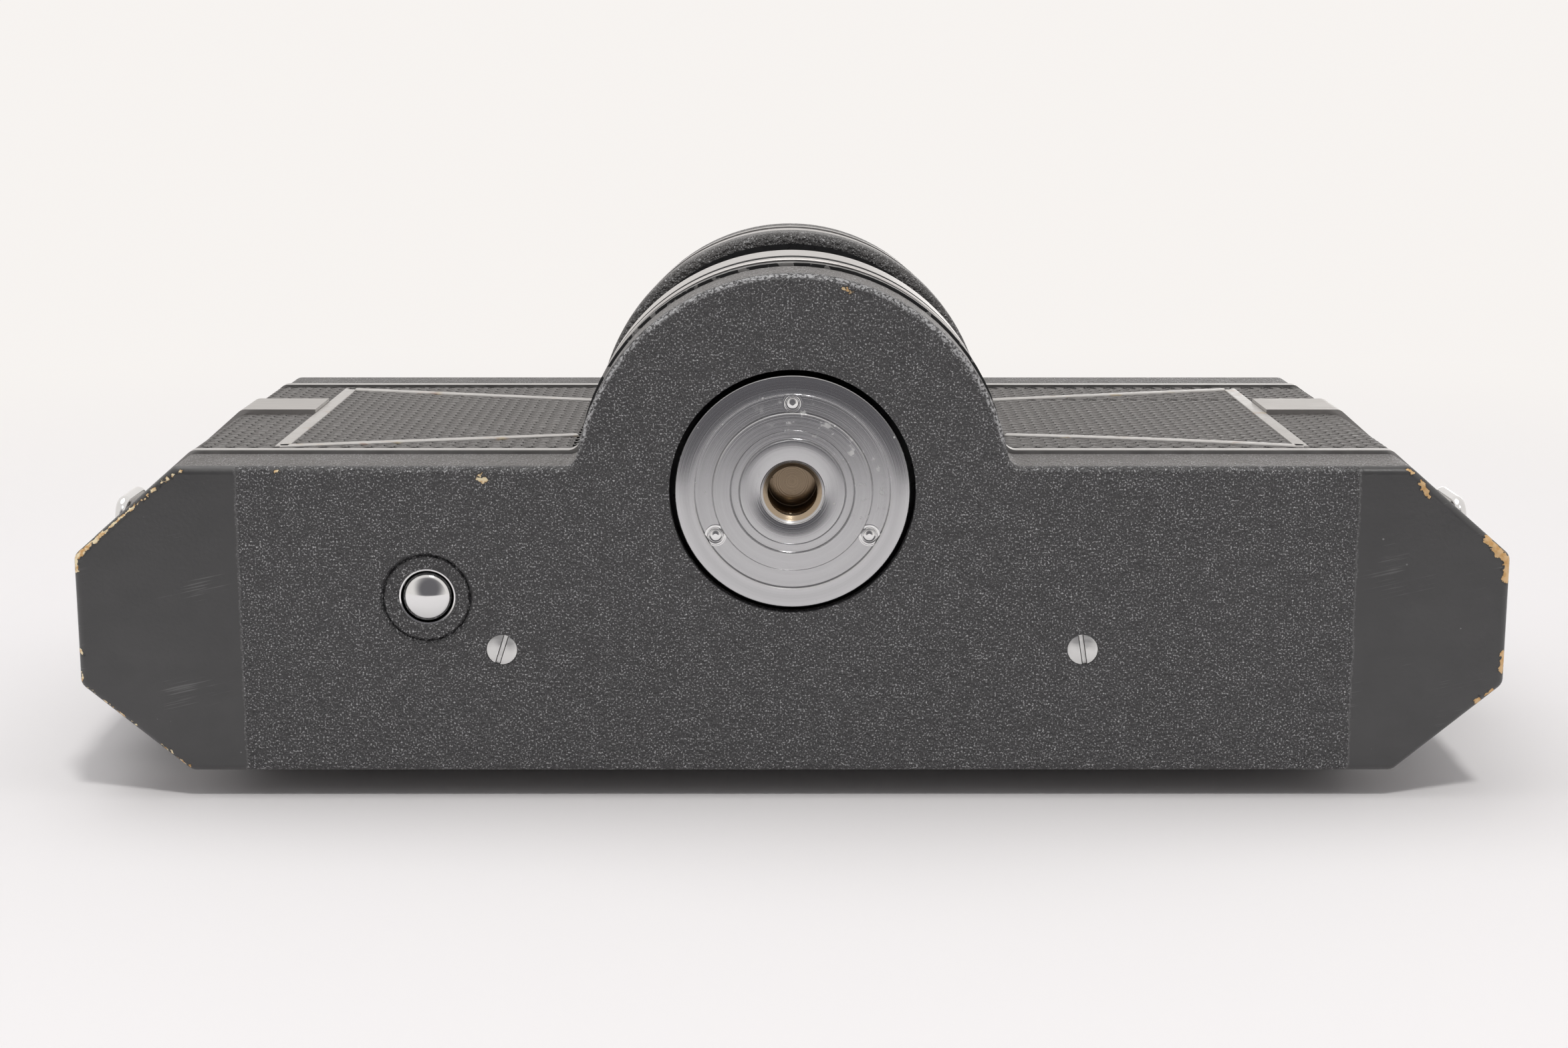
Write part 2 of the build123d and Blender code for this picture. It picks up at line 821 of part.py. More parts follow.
def take_up_spool():
    low = deck_top + free_gap
    high = roof_level - free_gap
    spool = rod(spool_core, low, high)
    spool += rod(spool_flange, low, low + spool_flange_height)
    spool += rod(spool_flange, high - spool_flange_height, high)
    spool += rod(pivot_radius / 2, cover_rim + fit_gap, low)
    spool -= rod(wind_shaft_radius, high - spool_socket, high)
    spool -= block(-spool_core, spool_core, -spool_slot / 2, spool_slot / 2,
                   low + spool_slot_end, high - spool_socket - spool_slot_end)
    return Pos(wind_x, spool_y, 0) * spool


def guide_roller(x):
    low, high = deck_top + free_gap, roof_level - free_gap
    return tube(roller_radius, roller_pin + running_gap, low, high, x, roller_y)


def roller_pins():
    return [rod(roller_pin, deck_top, roof_level, x, roller_y) for x in (-roller_x, roller_x)]


# Winding side

def wind_shaft():
    shaft = rod(wind_shaft_radius, roof_level - free_gap - spool_socket, knob_level + knob_seat)
    shaft += slab(gear_face(wind_teeth, transport_direction), gear_level, gear_top)
    shaft -= rod(counter_stem + running_gap, cover_inside - stem_bore_depth, knob_level + knob_seat)
    return Pos(wind_x, spool_y, 0) * shaft


def wind_knob():
    knob = knurled(wind_knob_radius, knob_level, wind_top, wind_x, spool_y, 60)
    knob -= rod(wind_shaft_radius, knob_level, knob_level + knob_seat, wind_x, spool_y)
    knob -= rod(counter_stem + running_gap, knob_level, wind_top, wind_x, spool_y)
    return knob - rod(counter_radius + fit_gap, wind_top - counter_recess, wind_top, wind_x, spool_y)


def counter_dial():
    dial = rod(counter_radius, counter_floor, wind_top - counter_sink, wind_x, spool_y)
    return dial + rod(counter_stem, cover_inside - stem_depth, counter_floor, wind_x, spool_y)


# Rewind side

def rewind_knob():
    knob = knurled(rewind_knob_radius, knob_level, rewind_top, rewind_x, spool_y, 54)
    return knob - rod(rewind_shaft_radius, knob_level, rewind_top - rewind_knob_roof, rewind_x, spool_y)


def rewind_shaft():
    low = roof_level - fork_drop
    shaft = rod(rewind_shaft_radius, low + fork_slot_depth, rewind_top - rewind_knob_roof)
    shaft += rod(fork_radius, low, low + fork_length)
    side = fork_slot / 2
    shaft -= block(-side, side, -2 * fork_radius, 2 * fork_radius, low, low + fork_slot_depth)
    return Pos(rewind_x, spool_y, 0) * shaft


def rewind_collar():
    low = top_rim + fit_gap
    bore = rewind_shaft_radius + running_gap
    return tube(collar_radius, bore, low, low + collar_height, rewind_x, spool_y)


# Dials and release

def top_dial(x):
    low = body_height + fit_gap
    dial = knurled(dial_radius, low, low + dial_height, x, dial_y, 40, 0.3, 0.4)
    top = low + dial_height
    dial -= tube(dial_line_radius, dial_line_radius - dial_line, top - dial_line_depth, top, x, dial_y)
    return dial + rod(dial_stem, low - dial_stem_length, low, x, dial_y)


def release_collar():
    top = body_height + release_collar_height
    return tube(release_collar_radius, release_cap + fit_gap, body_height, top, release_x, release_y)


def release_button():
    cap_low = body_height + release_travel + release_margin
    cap_high = cap_low + release_cap_height
    cap = rod(release_cap, cap_low, cap_high, release_x, release_y)
    cap = fillet(cap.edges().group_by(Axis.Z)[-1], release_cap_round)
    cap -= Pos(release_x, release_y, cap_high + finger_hollow - finger_hollow_depth) * Sphere(finger_hollow)
    cap += rod(release_rod, top_rim + release_travel + release_margin, cap_low, release_x, release_y)
    return cap + rod(release_keeper, keeper_low, cover_inside - fit_gap, release_x, release_y)


def release_spring():
    low, high = top_rim + spring_wire, keeper_low - fit_gap - spring_wire
    return coil_spring(release_spring_radius, spring_wire, low, high, spring_turns, release_x, release_y)


def rewind_release_button():
    button = rod(button_radius, button_sink, flange_low, sprocket_x, sprocket_y)
    button = fillet(button.edges().group_by(Axis.Z)[0], button_round)
    flange_high = flange_low + button_flange_height
    button += rod(button_flange - 2 * fit_gap, flange_low, flange_high, sprocket_x, sprocket_y)
    return button + rod(button_stem, flange_low, flange_low + button_stem_length, sprocket_x, sprocket_y)


def button_spring():
    low, high = flange_low + button_flange_height + spring_wire, spring_seat - spring_wire
    return coil_spring(button_spring_radius, spring_wire, low, high, spring_turns, sprocket_x, sprocket_y)


# Viewfinder

def finder_profile(inset):
    low = body_height
    high = finder_top - inset
    front = finder_front_y + inset
    rear = finder_rear_y - inset
    points = [
        (front, low), (front + finder_front_lean, high - finder_front_drop), (front + finder_brow, high),
        (rear - finder_tail, high), (rear - finder_rear_lean, high - finder_rear_drop), (rear, low),
    ]
    face = make_face(Plane.YZ * Polyline(*points, close=True))
    sides = [(finder_front_half - inset, finder_front_y), (finder_half_width - inset, finder_shoulder_y),
             (finder_half_width - inset, finder_rear_y)]
    outline = make_face(Polyline(*sides, *[(-x, y) for x, y in reversed(sides)], close=True))
    return extrude(face, amount=finder_half_width, both=True) & slab(outline, low, high)


def finder_housing():
    shell = finder_profile(0)
    upper_edges = [edge for edge in shell.edges() if edge.center().Z > body_height + finder_round]
    shell = fillet(upper_edges, finder_round)
    shell -= finder_profile(finder_wall)
    shell -= finder_window(2 * finder_front_y, finder_front_y + finder_brow)
    hole_front = finder_rear_y - 2 * eyepiece_depth
    shell -= rod_along_y(eyepiece_radius, hole_front, 2 * finder_rear_y, eyepiece_level)
    cup_low = finder_top - level_depth - level_wall
    shell += rod(level_radius + level_wall, cup_low, finder_top - finder_wall / 2, 0, level_y)
    return shell - rod(level_radius, finder_top - level_depth, finder_top, 0, level_y)


def finder_window(front, rear):
    return block(-finder_window_half, finder_window_half, front, rear,
                 body_height + finder_window_low, body_height + finder_window_high)


def finder_front_glass():
    front = finder_front_y + finder_glass_sink
    return finder_window(front, front + finder_glass_thickness)


def eyepiece_ring():
    front = finder_rear_y - eyepiece_depth
    rear = finder_rear_y + eyepiece_flange
    ring = rod_along_y(eyepiece_radius, front, rear, eyepiece_level)
    ring += rod_along_y(eyepiece_radius + eyepiece_flange, finder_rear_y, rear, eyepiece_level)
    return ring - rod_along_y(eyepiece_radius - eyepiece_wall, front, rear, eyepiece_level)


def eyepiece_glass():
    rear = finder_rear_y + eyepiece_flange - eyepiece_glass_sink
    front = rear - eyepiece_glass_thickness
    return rod_along_y(eyepiece_radius - eyepiece_wall, front, rear, eyepiece_level)


def level_bezel():
    low = finder_top - level_depth
    return tube(level_radius, level_radius - level_wall, low, finder_top + level_proud, 0, level_y)


def level_vial():
    return rod(level_radius - level_wall, finder_top - level_depth, finder_top, 0, level_y)


# Back door, hinge pin and latch

def door_shell(outer, inner):
    ring = slab(octagon(outer) - octagon(inner), door_low, door_high)
    return ring & block(-half_width, half_width, corner_rear_y + door_gap, rear_y, door_low, door_high)


def back_door():
    door = door_shell(leather_thickness, leather_thickness + door_thickness)
    root_y = rear_y - leather_thickness - door_root
    door += block(-door_panel_half, door_panel_half, root_y, panel_y, door_low, door_high)
    inner_half = door_panel_half - door_thickness
    door -= block(-inner_half, inner_half, corner_rear_y, panel_y - door_thickness,
                  door_low + door_thickness, door_high - door_thickness)
    for low in knuckle_lows():
        high = low + knuckle_length
        near, far = corner_rear_y + door_gap, hinge_y + hinge_radius
        door += block(hinge_x, hinge_root - half_width, near, far, low, high)
        door += rod(hinge_radius, low, high, hinge_x, hinge_y)
        door -= rod(hinge_pin_radius + running_gap, low, high, hinge_x, hinge_y)
    return door


def door_leather():
    outer_y = panel_y + leather_thickness
    skin = block(-door_panel_half, door_panel_half, panel_y, outer_y, door_low, door_high)
    wings = door_shell(0, leather_thickness)
    wings -= block(-door_panel_half, door_panel_half, 0, 2 * rear_y, 0, body_height)
    low, high = hinge_span(hinge_cutback)
    wings -= block(-lug_x, hinge_root + fit_gap - half_width, 0, hinge_y + hinge_radius + fit_gap, low, high)
    return [skin, wings]


def hinge_pin():
    low, high = hinge_span(pin_end)
    return rod(hinge_pin_radius, low, high, hinge_x, hinge_y)


def door_latch():
    inner_x = half_width + fit_gap
    outer_x = inner_x + latch_thickness
    near = end_y + latch_offset
    low = latch_level - latch_height / 2
    plate = block(inner_x, outer_x, near, near + latch_width, low, low + latch_height)
    step = (latch_height - 2 * grip_margin) / (grip_lines - 1)
    floor_x = outer_x - grip_line_depth
    for index in range(grip_lines):
        line_low = low + grip_margin + index * step - grip_line_width / 2
        plate -= block(floor_x, lug_x, near, near + latch_width, line_low, line_low + grip_line_width)
    near = end_y + tongue_offset
    quarter = latch_height / 4
    return plate + block(half_width - tongue_reach, inner_x, near, near + tongue_width,
                         latch_level - quarter, latch_level + quarter)


# Strap lugs and rings

def strap_lug():
    near, far = lug_y - lug_half, lug_y + lug_half
    lug = block(half_width + band_proud, lug_x, near, far, lug_height - lug_eye, lug_height + lug_eye)
    lug += rod_along_y(lug_eye, near, far, lug_height, lug_x)
    return lug - rod_along_y(ring_wire + running_gap, near, far, lug_height, lug_x)


def strap_ring():
    near, far = lug_y - ring_half_width, lug_y + ring_half_width
    low = lug_height - ring_drop
    outline = make_face(Polyline((near, lug_height), (far, lug_height), (far, low), (near, low), close=True))
    path = fillet((Plane.YZ.offset(lug_x) * outline).vertices(), ring_corner).wires()[0]
    return sweep(Plane(origin=path @ 0, z_dir=path % 0) * Circle(ring_wire), path=path)


save("bottom_cover", bottom_cover())
save("top_cover", top_cover())
save("body_casting", body_casting())
save("lower_trim", trim_ring(trim_low))
save("upper_trim", trim_ring(upper_trim_low))
save("leather_left", leather_left())
save("leather_right", leather_right())
save("frame_left", mirrored(frame_right()))
save("frame_right", frame_right())
save("side_band_left", mirrored(side_band()))
save("side_band_right", side_band())
save("turret_ring_lower", turret_ring_lower())
save("turret_ring_upper", turret_ring_upper())
save("tripod_disc", tripod_disc())
save("disc_screws", disc_screws())
save("cover_screws", cover_screws())
save("top_screws", top_screws())
save("lens_drum", lens_drum())
save("slit_mask", slit_mask())
save("lens_barrel", lens_barrel())
save("lens_front_glass", lens_front_glass())
save("lens_rear_glass", lens_rear_glass())
save("drum_pivots", drum_pivots())
save("drum_bushes", drum_bushes())
save("drum_gear", drum_gear())
save("governor_rotor", governor_rotor())
save("spring_barrel", spring_barrel())
save("gear_posts", gear_posts())
save("film_gate", film_gate())
save("sprocket", sprocket())
save("take_up_spool", take_up_spool())
save("guide_roller_left", guide_roller(-roller_x))
save("guide_roller_right", guide_roller(roller_x))
save("roller_pins", roller_pins())
save("wind_shaft", wind_shaft())
save("wind_knob", wind_knob())
save("counter_dial", counter_dial())
save("rewind_knob", rewind_knob())
save("rewind_shaft", rewind_shaft())
save("rewind_collar", rewind_collar())
save("speed_dial", top_dial(-dial_x))
save("aperture_dial", top_dial(dial_x))
save("release_collar", release_collar())
save("release_button", release_button())
save("release_spring", release_spring())
save("rewind_release_button", rewind_release_button())
save("button_spring", button_spring())
save("finder_housing", finder_housing())
save("finder_front_glass", finder_front_glass())
save("eyepiece_ring", eyepiece_ring())
save("eyepiece_glass", eyepiece_glass())
save("level_bezel", level_bezel())
save("level_vial", level_vial())
save("back_door", back_door())
save("door_leather", door_leather())
save("hinge_pin", hinge_pin())
save("door_latch", door_latch())
save("strap_lugs", pair(strap_lug()))
save("strap_ring_left", mirrored(strap_ring()))
save("strap_ring_right", strap_ring())
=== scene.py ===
import bpy
import bmesh
import math
from mathutils import Matrix, Vector


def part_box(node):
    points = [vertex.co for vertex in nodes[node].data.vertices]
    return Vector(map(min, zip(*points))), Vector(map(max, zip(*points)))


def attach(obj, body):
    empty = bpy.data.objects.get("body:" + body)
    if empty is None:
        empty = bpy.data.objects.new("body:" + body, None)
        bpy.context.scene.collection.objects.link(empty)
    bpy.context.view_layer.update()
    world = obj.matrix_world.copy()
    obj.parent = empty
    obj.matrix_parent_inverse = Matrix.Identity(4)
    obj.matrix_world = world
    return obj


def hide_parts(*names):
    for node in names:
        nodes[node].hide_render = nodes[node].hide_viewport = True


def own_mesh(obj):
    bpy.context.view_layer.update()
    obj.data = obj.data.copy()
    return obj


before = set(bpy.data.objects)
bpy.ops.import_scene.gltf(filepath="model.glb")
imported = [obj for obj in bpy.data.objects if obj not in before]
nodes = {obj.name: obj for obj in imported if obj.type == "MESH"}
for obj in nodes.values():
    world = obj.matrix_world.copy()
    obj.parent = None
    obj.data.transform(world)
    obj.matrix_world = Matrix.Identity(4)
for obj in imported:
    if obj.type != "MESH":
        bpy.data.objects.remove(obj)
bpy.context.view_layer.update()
mm = 0.001


# Shader maths: a wire holds one socket, and sums on wires add their own nodes

class Wire:
    def __init__(self, tree, socket=None):
        self.tree, self.socket = tree, socket

    def add(self, kind, settings=None, sockets=None, out=0):
        node = self.tree.nodes.new("ShaderNode" + kind)
        for name, value in (settings or {}).items():
            setattr(node, name, value)
        for name, value in (sockets or {}).items():
            if isinstance(value, Wire):
                self.tree.links.new(value.socket, node.inputs[name])
            else:
                node.inputs[name].default_value = value
        return Wire(self.tree, node.outputs[out] if node.outputs else None)

    def maths(self, operation, *values):
        return self.add("Math", {"operation": operation}, dict(enumerate(values)))

    def vector(self, operation, *values, out=0):
        return self.add("VectorMath", {"operation": operation}, dict(enumerate(values)), out)

    def __add__(self, other):
        return self.maths("ADD", self, other)

    def __mul__(self, other):
        return self.maths("MULTIPLY", self, other)

    def __sub__(self, other):
        return self.maths("SUBTRACT", self, other)

    def __rsub__(self, other):
        return self.maths("SUBTRACT", other, self)

    __radd__, __rmul__ = __add__, __mul__

    def size(self):  # without its sign
        return self.maths("ABSOLUTE", self)

    def least(self, other):
        return self.maths("MINIMUM", self, other)

    def most(self, other):
        return self.maths("MAXIMUM", self, other)

    def fade(self, low, high, start=0.0, end=1.0):  # start at low, end at high, smooth between
        return self.add("MapRange", {"interpolation_type": "SMOOTHSTEP"},
                        {0: self, 1: low, 2: high, 3: start, 4: end})

    def tint(self, low, high):  # the colour low where this is 0, and high where it is 1
        low, high = (value if isinstance(value, Wire) else (*value, 1) for value in (low, high))
        return self.add("Mix", {"data_type": "RGBA"}, {0: self, 6: low, 7: high}, 2)

    def noise(self, grain, detail=2.0, stretch=(1, 1, 1)):  # self is a place in mm, grain a size in mm
        spread = self.vector("MULTIPLY", self, tuple(1 / (grain * s) for s in stretch))
        return self.add("TexNoise", None, {"Vector": spread, "Scale": 1.0, "Detail": detail})

    def cells(self, grain, feature="F1"):
        return self.add("TexVoronoi", {"feature": feature}, {"Vector": self, "Scale": 1 / grain})

    def axis(self, index):
        return self.add("SeparateXYZ", None, {0: self}, index)

    def radius(self, x, y):  # distance in mm from an upright line through (x, y)
        flat = self.vector("MULTIPLY", self, (1, 1, 0))
        return self.vector("DISTANCE", flat, (x, y, 0), out=1)

    def reach(self, a, b):  # distance in mm from the stretch between a and b
        a, b = Vector(a), Vector(b)
        way = (b - a).normalized()
        rel = self.vector("SUBTRACT", self, tuple(a))
        along = self.vector("DOT_PRODUCT", rel, tuple(way), out=1).most(0.0).least((b - a).length)
        foot = self.add("CombineXYZ", None, {0: along, 1: along, 2: along})
        return self.vector("DISTANCE", rel, self.vector("MULTIPLY", foot, tuple(way)), out=1)


finishes = {}


def finish(name, paint):  # paint takes the place in mm and gives the shader's sockets
    made = bpy.data.materials.new(name)
    made.use_nodes = True
    made.node_tree.nodes.clear()
    start = Wire(made.node_tree)
    place = start.vector("MULTIPLY", start.add("TexCoord", out=3), (1 / mm,) * 3)
    sockets = paint(place)
    if "relief" in sockets:  # a height in mm
        sockets["Normal"] = start.add("Bump", None, {"Height": sockets.pop("relief"), "Distance": mm})
    shader = start.add("BsdfPrincipled", None, sockets)
    start.add("OutputMaterial", None, {"Surface": shader})
    finishes[name] = made


# Painted and covered surfaces

crackle = {
    "grain": 0.5, "speck": 0.19, "height": 0.14, "gloss": 0.46, "index": 1.6,
    # the glint colour paints highlights on the grain's tips
    "colour": (0.027, 0.0265, 0.028), "worn": (0.072, 0.066, 0.063), "paintedGlint": (0.5, 0.5, 0.51),
}


def crackleRelief(place):
    coarse = place.noise(crackle["grain"], 2.0).fade(0.36, 0.66)
    return coarse * crackle["height"] + place.noise(crackle["speck"], 1.0) * (crackle["height"] * 0.4)


def paintedCrackleGlints(place):  # painted highlights: the grain's bright tips, as light specks in the colour
    fine = place.noise(crackle["speck"], 1.0)
    return (fine + (place.noise(1.7, 2.0) - 0.5) * 0.16).fade(0.53, 0.8)


def cracklePaint(place):
    paint = place.noise(9.0, 3.0).tint(crackle["colour"], crackle["worn"])
    # painted highlights: light specks in the base colour stand in for the grain's glints
    paintedGlints = paintedCrackleGlints(place)
    return {
        "Base Color": paintedGlints.tint(paint, crackle["paintedGlint"]),
        "Roughness": crackle["gloss"] - paintedGlints * 0.14,
        "IOR": crackle["index"],
        "relief": crackleRelief(place),
    }


plate = {
    "smoothFrom": 58.5, "aside": 0.55, "brass": (0.60, 0.34, 0.12), "worn": (0.88, 0.76, 0.52),
    "dust": (0.26, 0.26, 0.26), "bare": (0.008, 0.008, 0.008), "strokes": 0.22, "level": 0.15,
    "chips": [  # from and to in mm, with the half width; in the plate's face, or with a height of their own
        ((-63.2, -2.3), (-64.8, -1.4), 0.1), ((-64.8, -1.4), (-71.6, 4.2), 0.1),
        ((-71.8, 4.2), (-74.8, 7.0), 0.3), ((-74.8, 7.0), (-74.8, 8.2), 0.36),
        ((-74.8, 16.8), (-74.6, 17.2), 0.2), ((-74.9, 19.3), (-74.9, 20.5), 0.2),
        ((-74.6, 20.75), (-69.4, 25.05), 0.1), ((-66.6, 27.45), (-64.0, 29.65), 0.2),
        ((65.2, -0.9), (66.0, 0.3), 0.3), ((63.6, -2.4), (64.3, -1.9), 0.12),
        ((72.4, 4.9), (74.6, 7.3), 0.48), ((74.6, 7.3), (74.6, 9.2), 0.46),
        ((74.8, 17.2), (74.8, 19.0), 0.36), ((73.8, 21.3), (73.1, 21.8), 0.22),
        ((72.5, 22.2), (72.1, 22.5), 0.24), ((-53.6, -2.2), (-53.1, -2.2), 0.14),
        ((-32.3, -1.6), (-31.9, -1.2), 0.34), ((5.2, -21.1), (5.9, -20.8), 0.2),
        ((-35.5, 10.0), (-35.3, 10.8), 0.16), ((-38.0, 14.3), (-37.0, 14.1), 0.14),
        ((19.4, -11.7), (19.9, -11.0), 0.1),
        ((-33.3, -3.0, 8.2), (-32.7, -3.0, 8.2), 0.12), ((-25.4, -3.0, 8.2), (-25.0, -3.0, 8.2), 0.1),
        ((31.5, -3.0, 8.2), (32.0, -3.0, 8.2), 0.1), ((33.0, -3.0, 8.2), (33.5, -3.0, 8.2), 0.1),
    ],
    "patches": [((-66.5, 24.8), 1.5), ((-58.5, 28.3), 1.1), ((60.5, 27.5), 1.3), ((70.5, 15.0), 1.8)],
}


def platePaint(place):
    ends = (place.axis(0) - plate["aside"]).size() + place.noise(3.0, 2.0) * 0.4
    ends = (ends + place.noise(0.4, 1.0) * 0.5).fade(plate["smoothFrom"], plate["smoothFrom"] + 0.5)
    ends = ends * place.axis(2).fade(0.6, 1.4, 1.0, 0.0)
    nearest = None
    for start, end, half in plate["chips"]:
        gap = place.reach((*start, plate["level"])[:3], (*end, plate["level"])[:3]) - half
        nearest = gap if nearest is None else nearest.least(gap)
    ragged = nearest + (place.noise(0.5, 4.0) - 0.5) * 1.15
    chip = ragged.fade(-0.05, 0.03, 1.0, 0.0)
    broken = ragged.fade(0.03, 0.16, 1.0, 0.0) - chip  # thin dark line where the paint has broken off
    dusty = None
    for spot, size in plate["patches"]:
        near = place.radius(*spot).fade(0.0, size, 1.0, 0.0)
        dusty = near if dusty is None else dusty.most(near)
    specks = place.cells(2.6).fade(0.03, 0.06, 1.0, 0.0) * place.noise(5.0, 1.0).fade(0.5, 0.6)
    crumbs = (place.cells(0.7).fade(0.08, 0.16, 1.0, 0.0) * dusty).fade(0.2, 0.6)
    across = {"Vector": place, "Angle": plate["strokes"]}
    tilted = place.add("VectorRotate", {"rotation_type": "Z_AXIS"}, across)
    scratches = (tilted.noise(0.5, 3.0, (16, 0.3, 1)) * place.noise(6.0, 2.0)).fade(0.36, 0.46) * ends
    # painted highlight: sparkle along the plate's rounded rim on the turret's front, the side towards the
    # lamps
    rimHighlight = place.axis(2).fade(0.02, 0.12) * place.axis(2).fade(0.35, 0.7, 1.0, 0.0)
    rimHighlight = rimHighlight * place.axis(1).fade(-6.0, -4.0, 1.0, 0.0)
    paintedGlints = paintedCrackleGlints(place).most(rimHighlight * place.noise(0.3, 1.0).fade(0.4, 0.6) * 0.8)
    paint = place.noise(14.0, 4.0).tint(crackle["colour"], [c * 1.5 for c in crackle["colour"]])
    # painted sheen: the cover's side wall above z 1.3 takes the lighter worn tone for the glare its grazing
    # faces show
    paint = place.axis(2).fade(0.9, 1.3).tint(paint, crackle["worn"])
    # painted highlights: the glint specks and the rim's sparkle lighten the colour
    paint = paintedGlints.tint(paint, crackle["paintedGlint"])
    smooth = place.noise(4.0, 4.0, (2, 1, 1)).tint((0.036, 0.036, 0.037), (0.056, 0.055, 0.056))
    paint = ends.tint(paint, smooth)
    # painted highlight: a lighter line along the fine ridge where the crackle meets the smooth ends
    seamHighlight = (ends * (1 - ends)).fade(0.12, 0.25)
    paint = (seamHighlight * 0.2).tint(paint, plate["dust"])
    paint = (specks.most(scratches * 0.4).most(crumbs) * 0.7).tint(paint, plate["dust"])
    paint = broken.tint(paint, plate["bare"])
    pale = place.noise(0.6, 3.0).fade(0.35, 0.6) * place.axis(0).fade(-30.0, 30.0, 1.0, 0.3)
    gold = pale.tint(plate["brass"], plate["worn"])
    satin = place.noise(2.0, 4.0).fade(0.25, 0.75, 0.3, 0.44) + scratches * 0.1
    rough = ends * satin + (1 - ends) * (crackle["gloss"] - paintedGlints * 0.14)
    return {
        "Base Color": chip.tint(paint, gold),
        "Metallic": chip * 0.4,
        "Roughness": rough * (1 - chip) + chip * 0.45,
        "IOR": crackle["index"],
        "relief": crackleRelief(place) * (1 - ends * 0.96) * (1 - chip) + (1 - chip) * 0.04,
    }


def leather(place):  # the attribute is 0 in the seams between the diamonds and 1 on their crowns
    grain = place.noise(0.22, 2.0)
    crown = place.add("Attribute", {"attribute_name": "padHeight"}, None, 2)
    top = place.noise(7.0, 3.0).tint((0.062, 0.057, 0.054), (0.088, 0.081, 0.077))
    return {
        # the seams are painted light: partly dust in them, partly a painted highlight for the light their
        # edges catch
        "Base Color": crown.fade(0.1, 0.85).tint((0.26, 0.25, 0.24), top),
        "Roughness": grain.fade(0.3, 0.7, 0.32, 0.48),
        "IOR": 1.6,
        "relief": grain * 0.02,
    }


def leatherGroove(place):
    return {
        "Base Color": place.noise(3.0).tint((0.03, 0.03, 0.03), (0.05, 0.05, 0.05)),
        "Roughness": 0.6,
        "relief": place.noise(0.2) * 0.02,
    }


def satinBlack(place):
    return {
        "Base Color": place.noise(6.0, 3.0).tint((0.012, 0.012, 0.013), (0.022, 0.022, 0.023)),
        "Roughness": place.noise(1.2, 3.0).fade(0.3, 0.7, 0.26, 0.4),
        "relief": place.noise(0.6, 2.0) * 0.008,
    }


def matteBlack(place):
    return {
        "Base Color": place.noise(3.0, 2.0).tint((0.010, 0.010, 0.011), (0.018, 0.018, 0.018)),
        "Roughness": 0.62,
        "relief": place.noise(0.12, 1.0) * 0.012,
    }


# Metals and glass

def metal(colour, low, high, grain, stretch=(1, 1, 1), height=0.003):
    def paint(place):
        brushed = place.noise(grain, 3.0, stretch)
        return {
            "Base Color": place.noise(5.0, 3.0).tint([c * 0.86 for c in colour], colour),
            "Metallic": 1.0,
            "Roughness": brushed.fade(0.25, 0.75, low, high),
            "relief": brushed * height,
        }
    return paint


disc = {
    "steel": (0.54, 0.54, 0.55), "rings": 0.11, "ringHeight": 0.0012, "residue": (0.72, 0.72, 0.70),
    "outer": 12.22, "thickness": 2.6, "neck": 5.2, "neckTop": 7.4, "bore": 3.175, "minor": 2.6, "pitch": 1.27,
    "depth": 6.4, "wide": (10.21, 8.32, 0.5), "narrow": (6.44, 5.53, 0.35), "edge": 0.2, "lip": 0.1,
    "boreWall": (0.40, 0.32, 0.23), "boreFloorShade": (0.26, 0.20, 0.14),
    "pins": 9.25, "pinRadius": 0.86, "pinSeat": 1.12,
}


def turnedSteel(place):
    out = place.radius(0, 0)
    lathe = {"noise_dimensions": "1D"}
    rings = place.add("TexNoise", lathe, {"W": out, "Scale": 1 / disc["rings"], "Detail": 3.0})
    broad = place.add("TexNoise", lathe, {"W": out, "Scale": 1.3, "Detail": 2.0})
    cloud = place.noise(1.1, 5.0).fade(0.56, 0.72) * out.fade(5.0, 7.0) * out.fade(8.8, 10.2, 1.0, 0.0)
    cloud = cloud * (place.axis(0) - place.axis(1) * 0.8).fade(1.0, 8.0)
    specks = place.cells(1.5).fade(0.05, 0.1, 1.0, 0.0) * place.noise(3.0, 1.0).fade(0.5, 0.58)
    scratches = place.noise(0.3, 2.0, (1.0, 12.0, 1.0)).fade(0.72, 0.8)
    marks = cloud.most(specks).most(scratches * 0.5)
    bore = out.fade(3.02, 3.14, 1.0, 0.0)
    base = (rings * 0.6 + broad * 0.5).fade(0.3, 0.8).tint([c * 0.86 for c in disc["steel"]], disc["steel"])
    base = (marks * 0.55).tint(base, disc["residue"])
    # painted shade: the bore's floor is darker than its wall
    inside = place.axis(2).fade(5.6, 6.2).tint(disc["boreWall"], disc["boreFloorShade"])
    return {
        "Base Color": bore.tint(base, inside),
        "Metallic": 1 - marks * 0.4,
        "Roughness": rings.fade(0.3, 0.7, 0.13, 0.21) + marks * 0.3,
        "relief": rings * disc["ringHeight"],
    }


def stainedTrim(place):
    stain = place.noise(1.6, 4.0, (2.2, 1, 1)).fade(0.56, 0.66)
    rust = place.noise(3.5, 2.0).fade(0.45, 0.6)
    spots = (stain * rust) * place.axis(1).fade(-4.0, -2.0)
    dull = place.noise(2.5, 3.0).tint((0.47, 0.455, 0.44), (0.58, 0.57, 0.555))
    ochre = place.noise(1.1, 2.0).fade(0.4, 0.6).tint((0.32, 0.11, 0.03), (0.50, 0.38, 0.14))
    return {
        "Base Color": (spots * 0.9).tint(dull, ochre),
        "Metallic": 0.75 - spots * 0.6,
        "Roughness": place.noise(0.8, 2.0).fade(0.3, 0.7, 0.34, 0.5) + spots * 0.2,
        "relief": spots * 0.03 + place.noise(0.5, 2.0) * 0.004,
    }


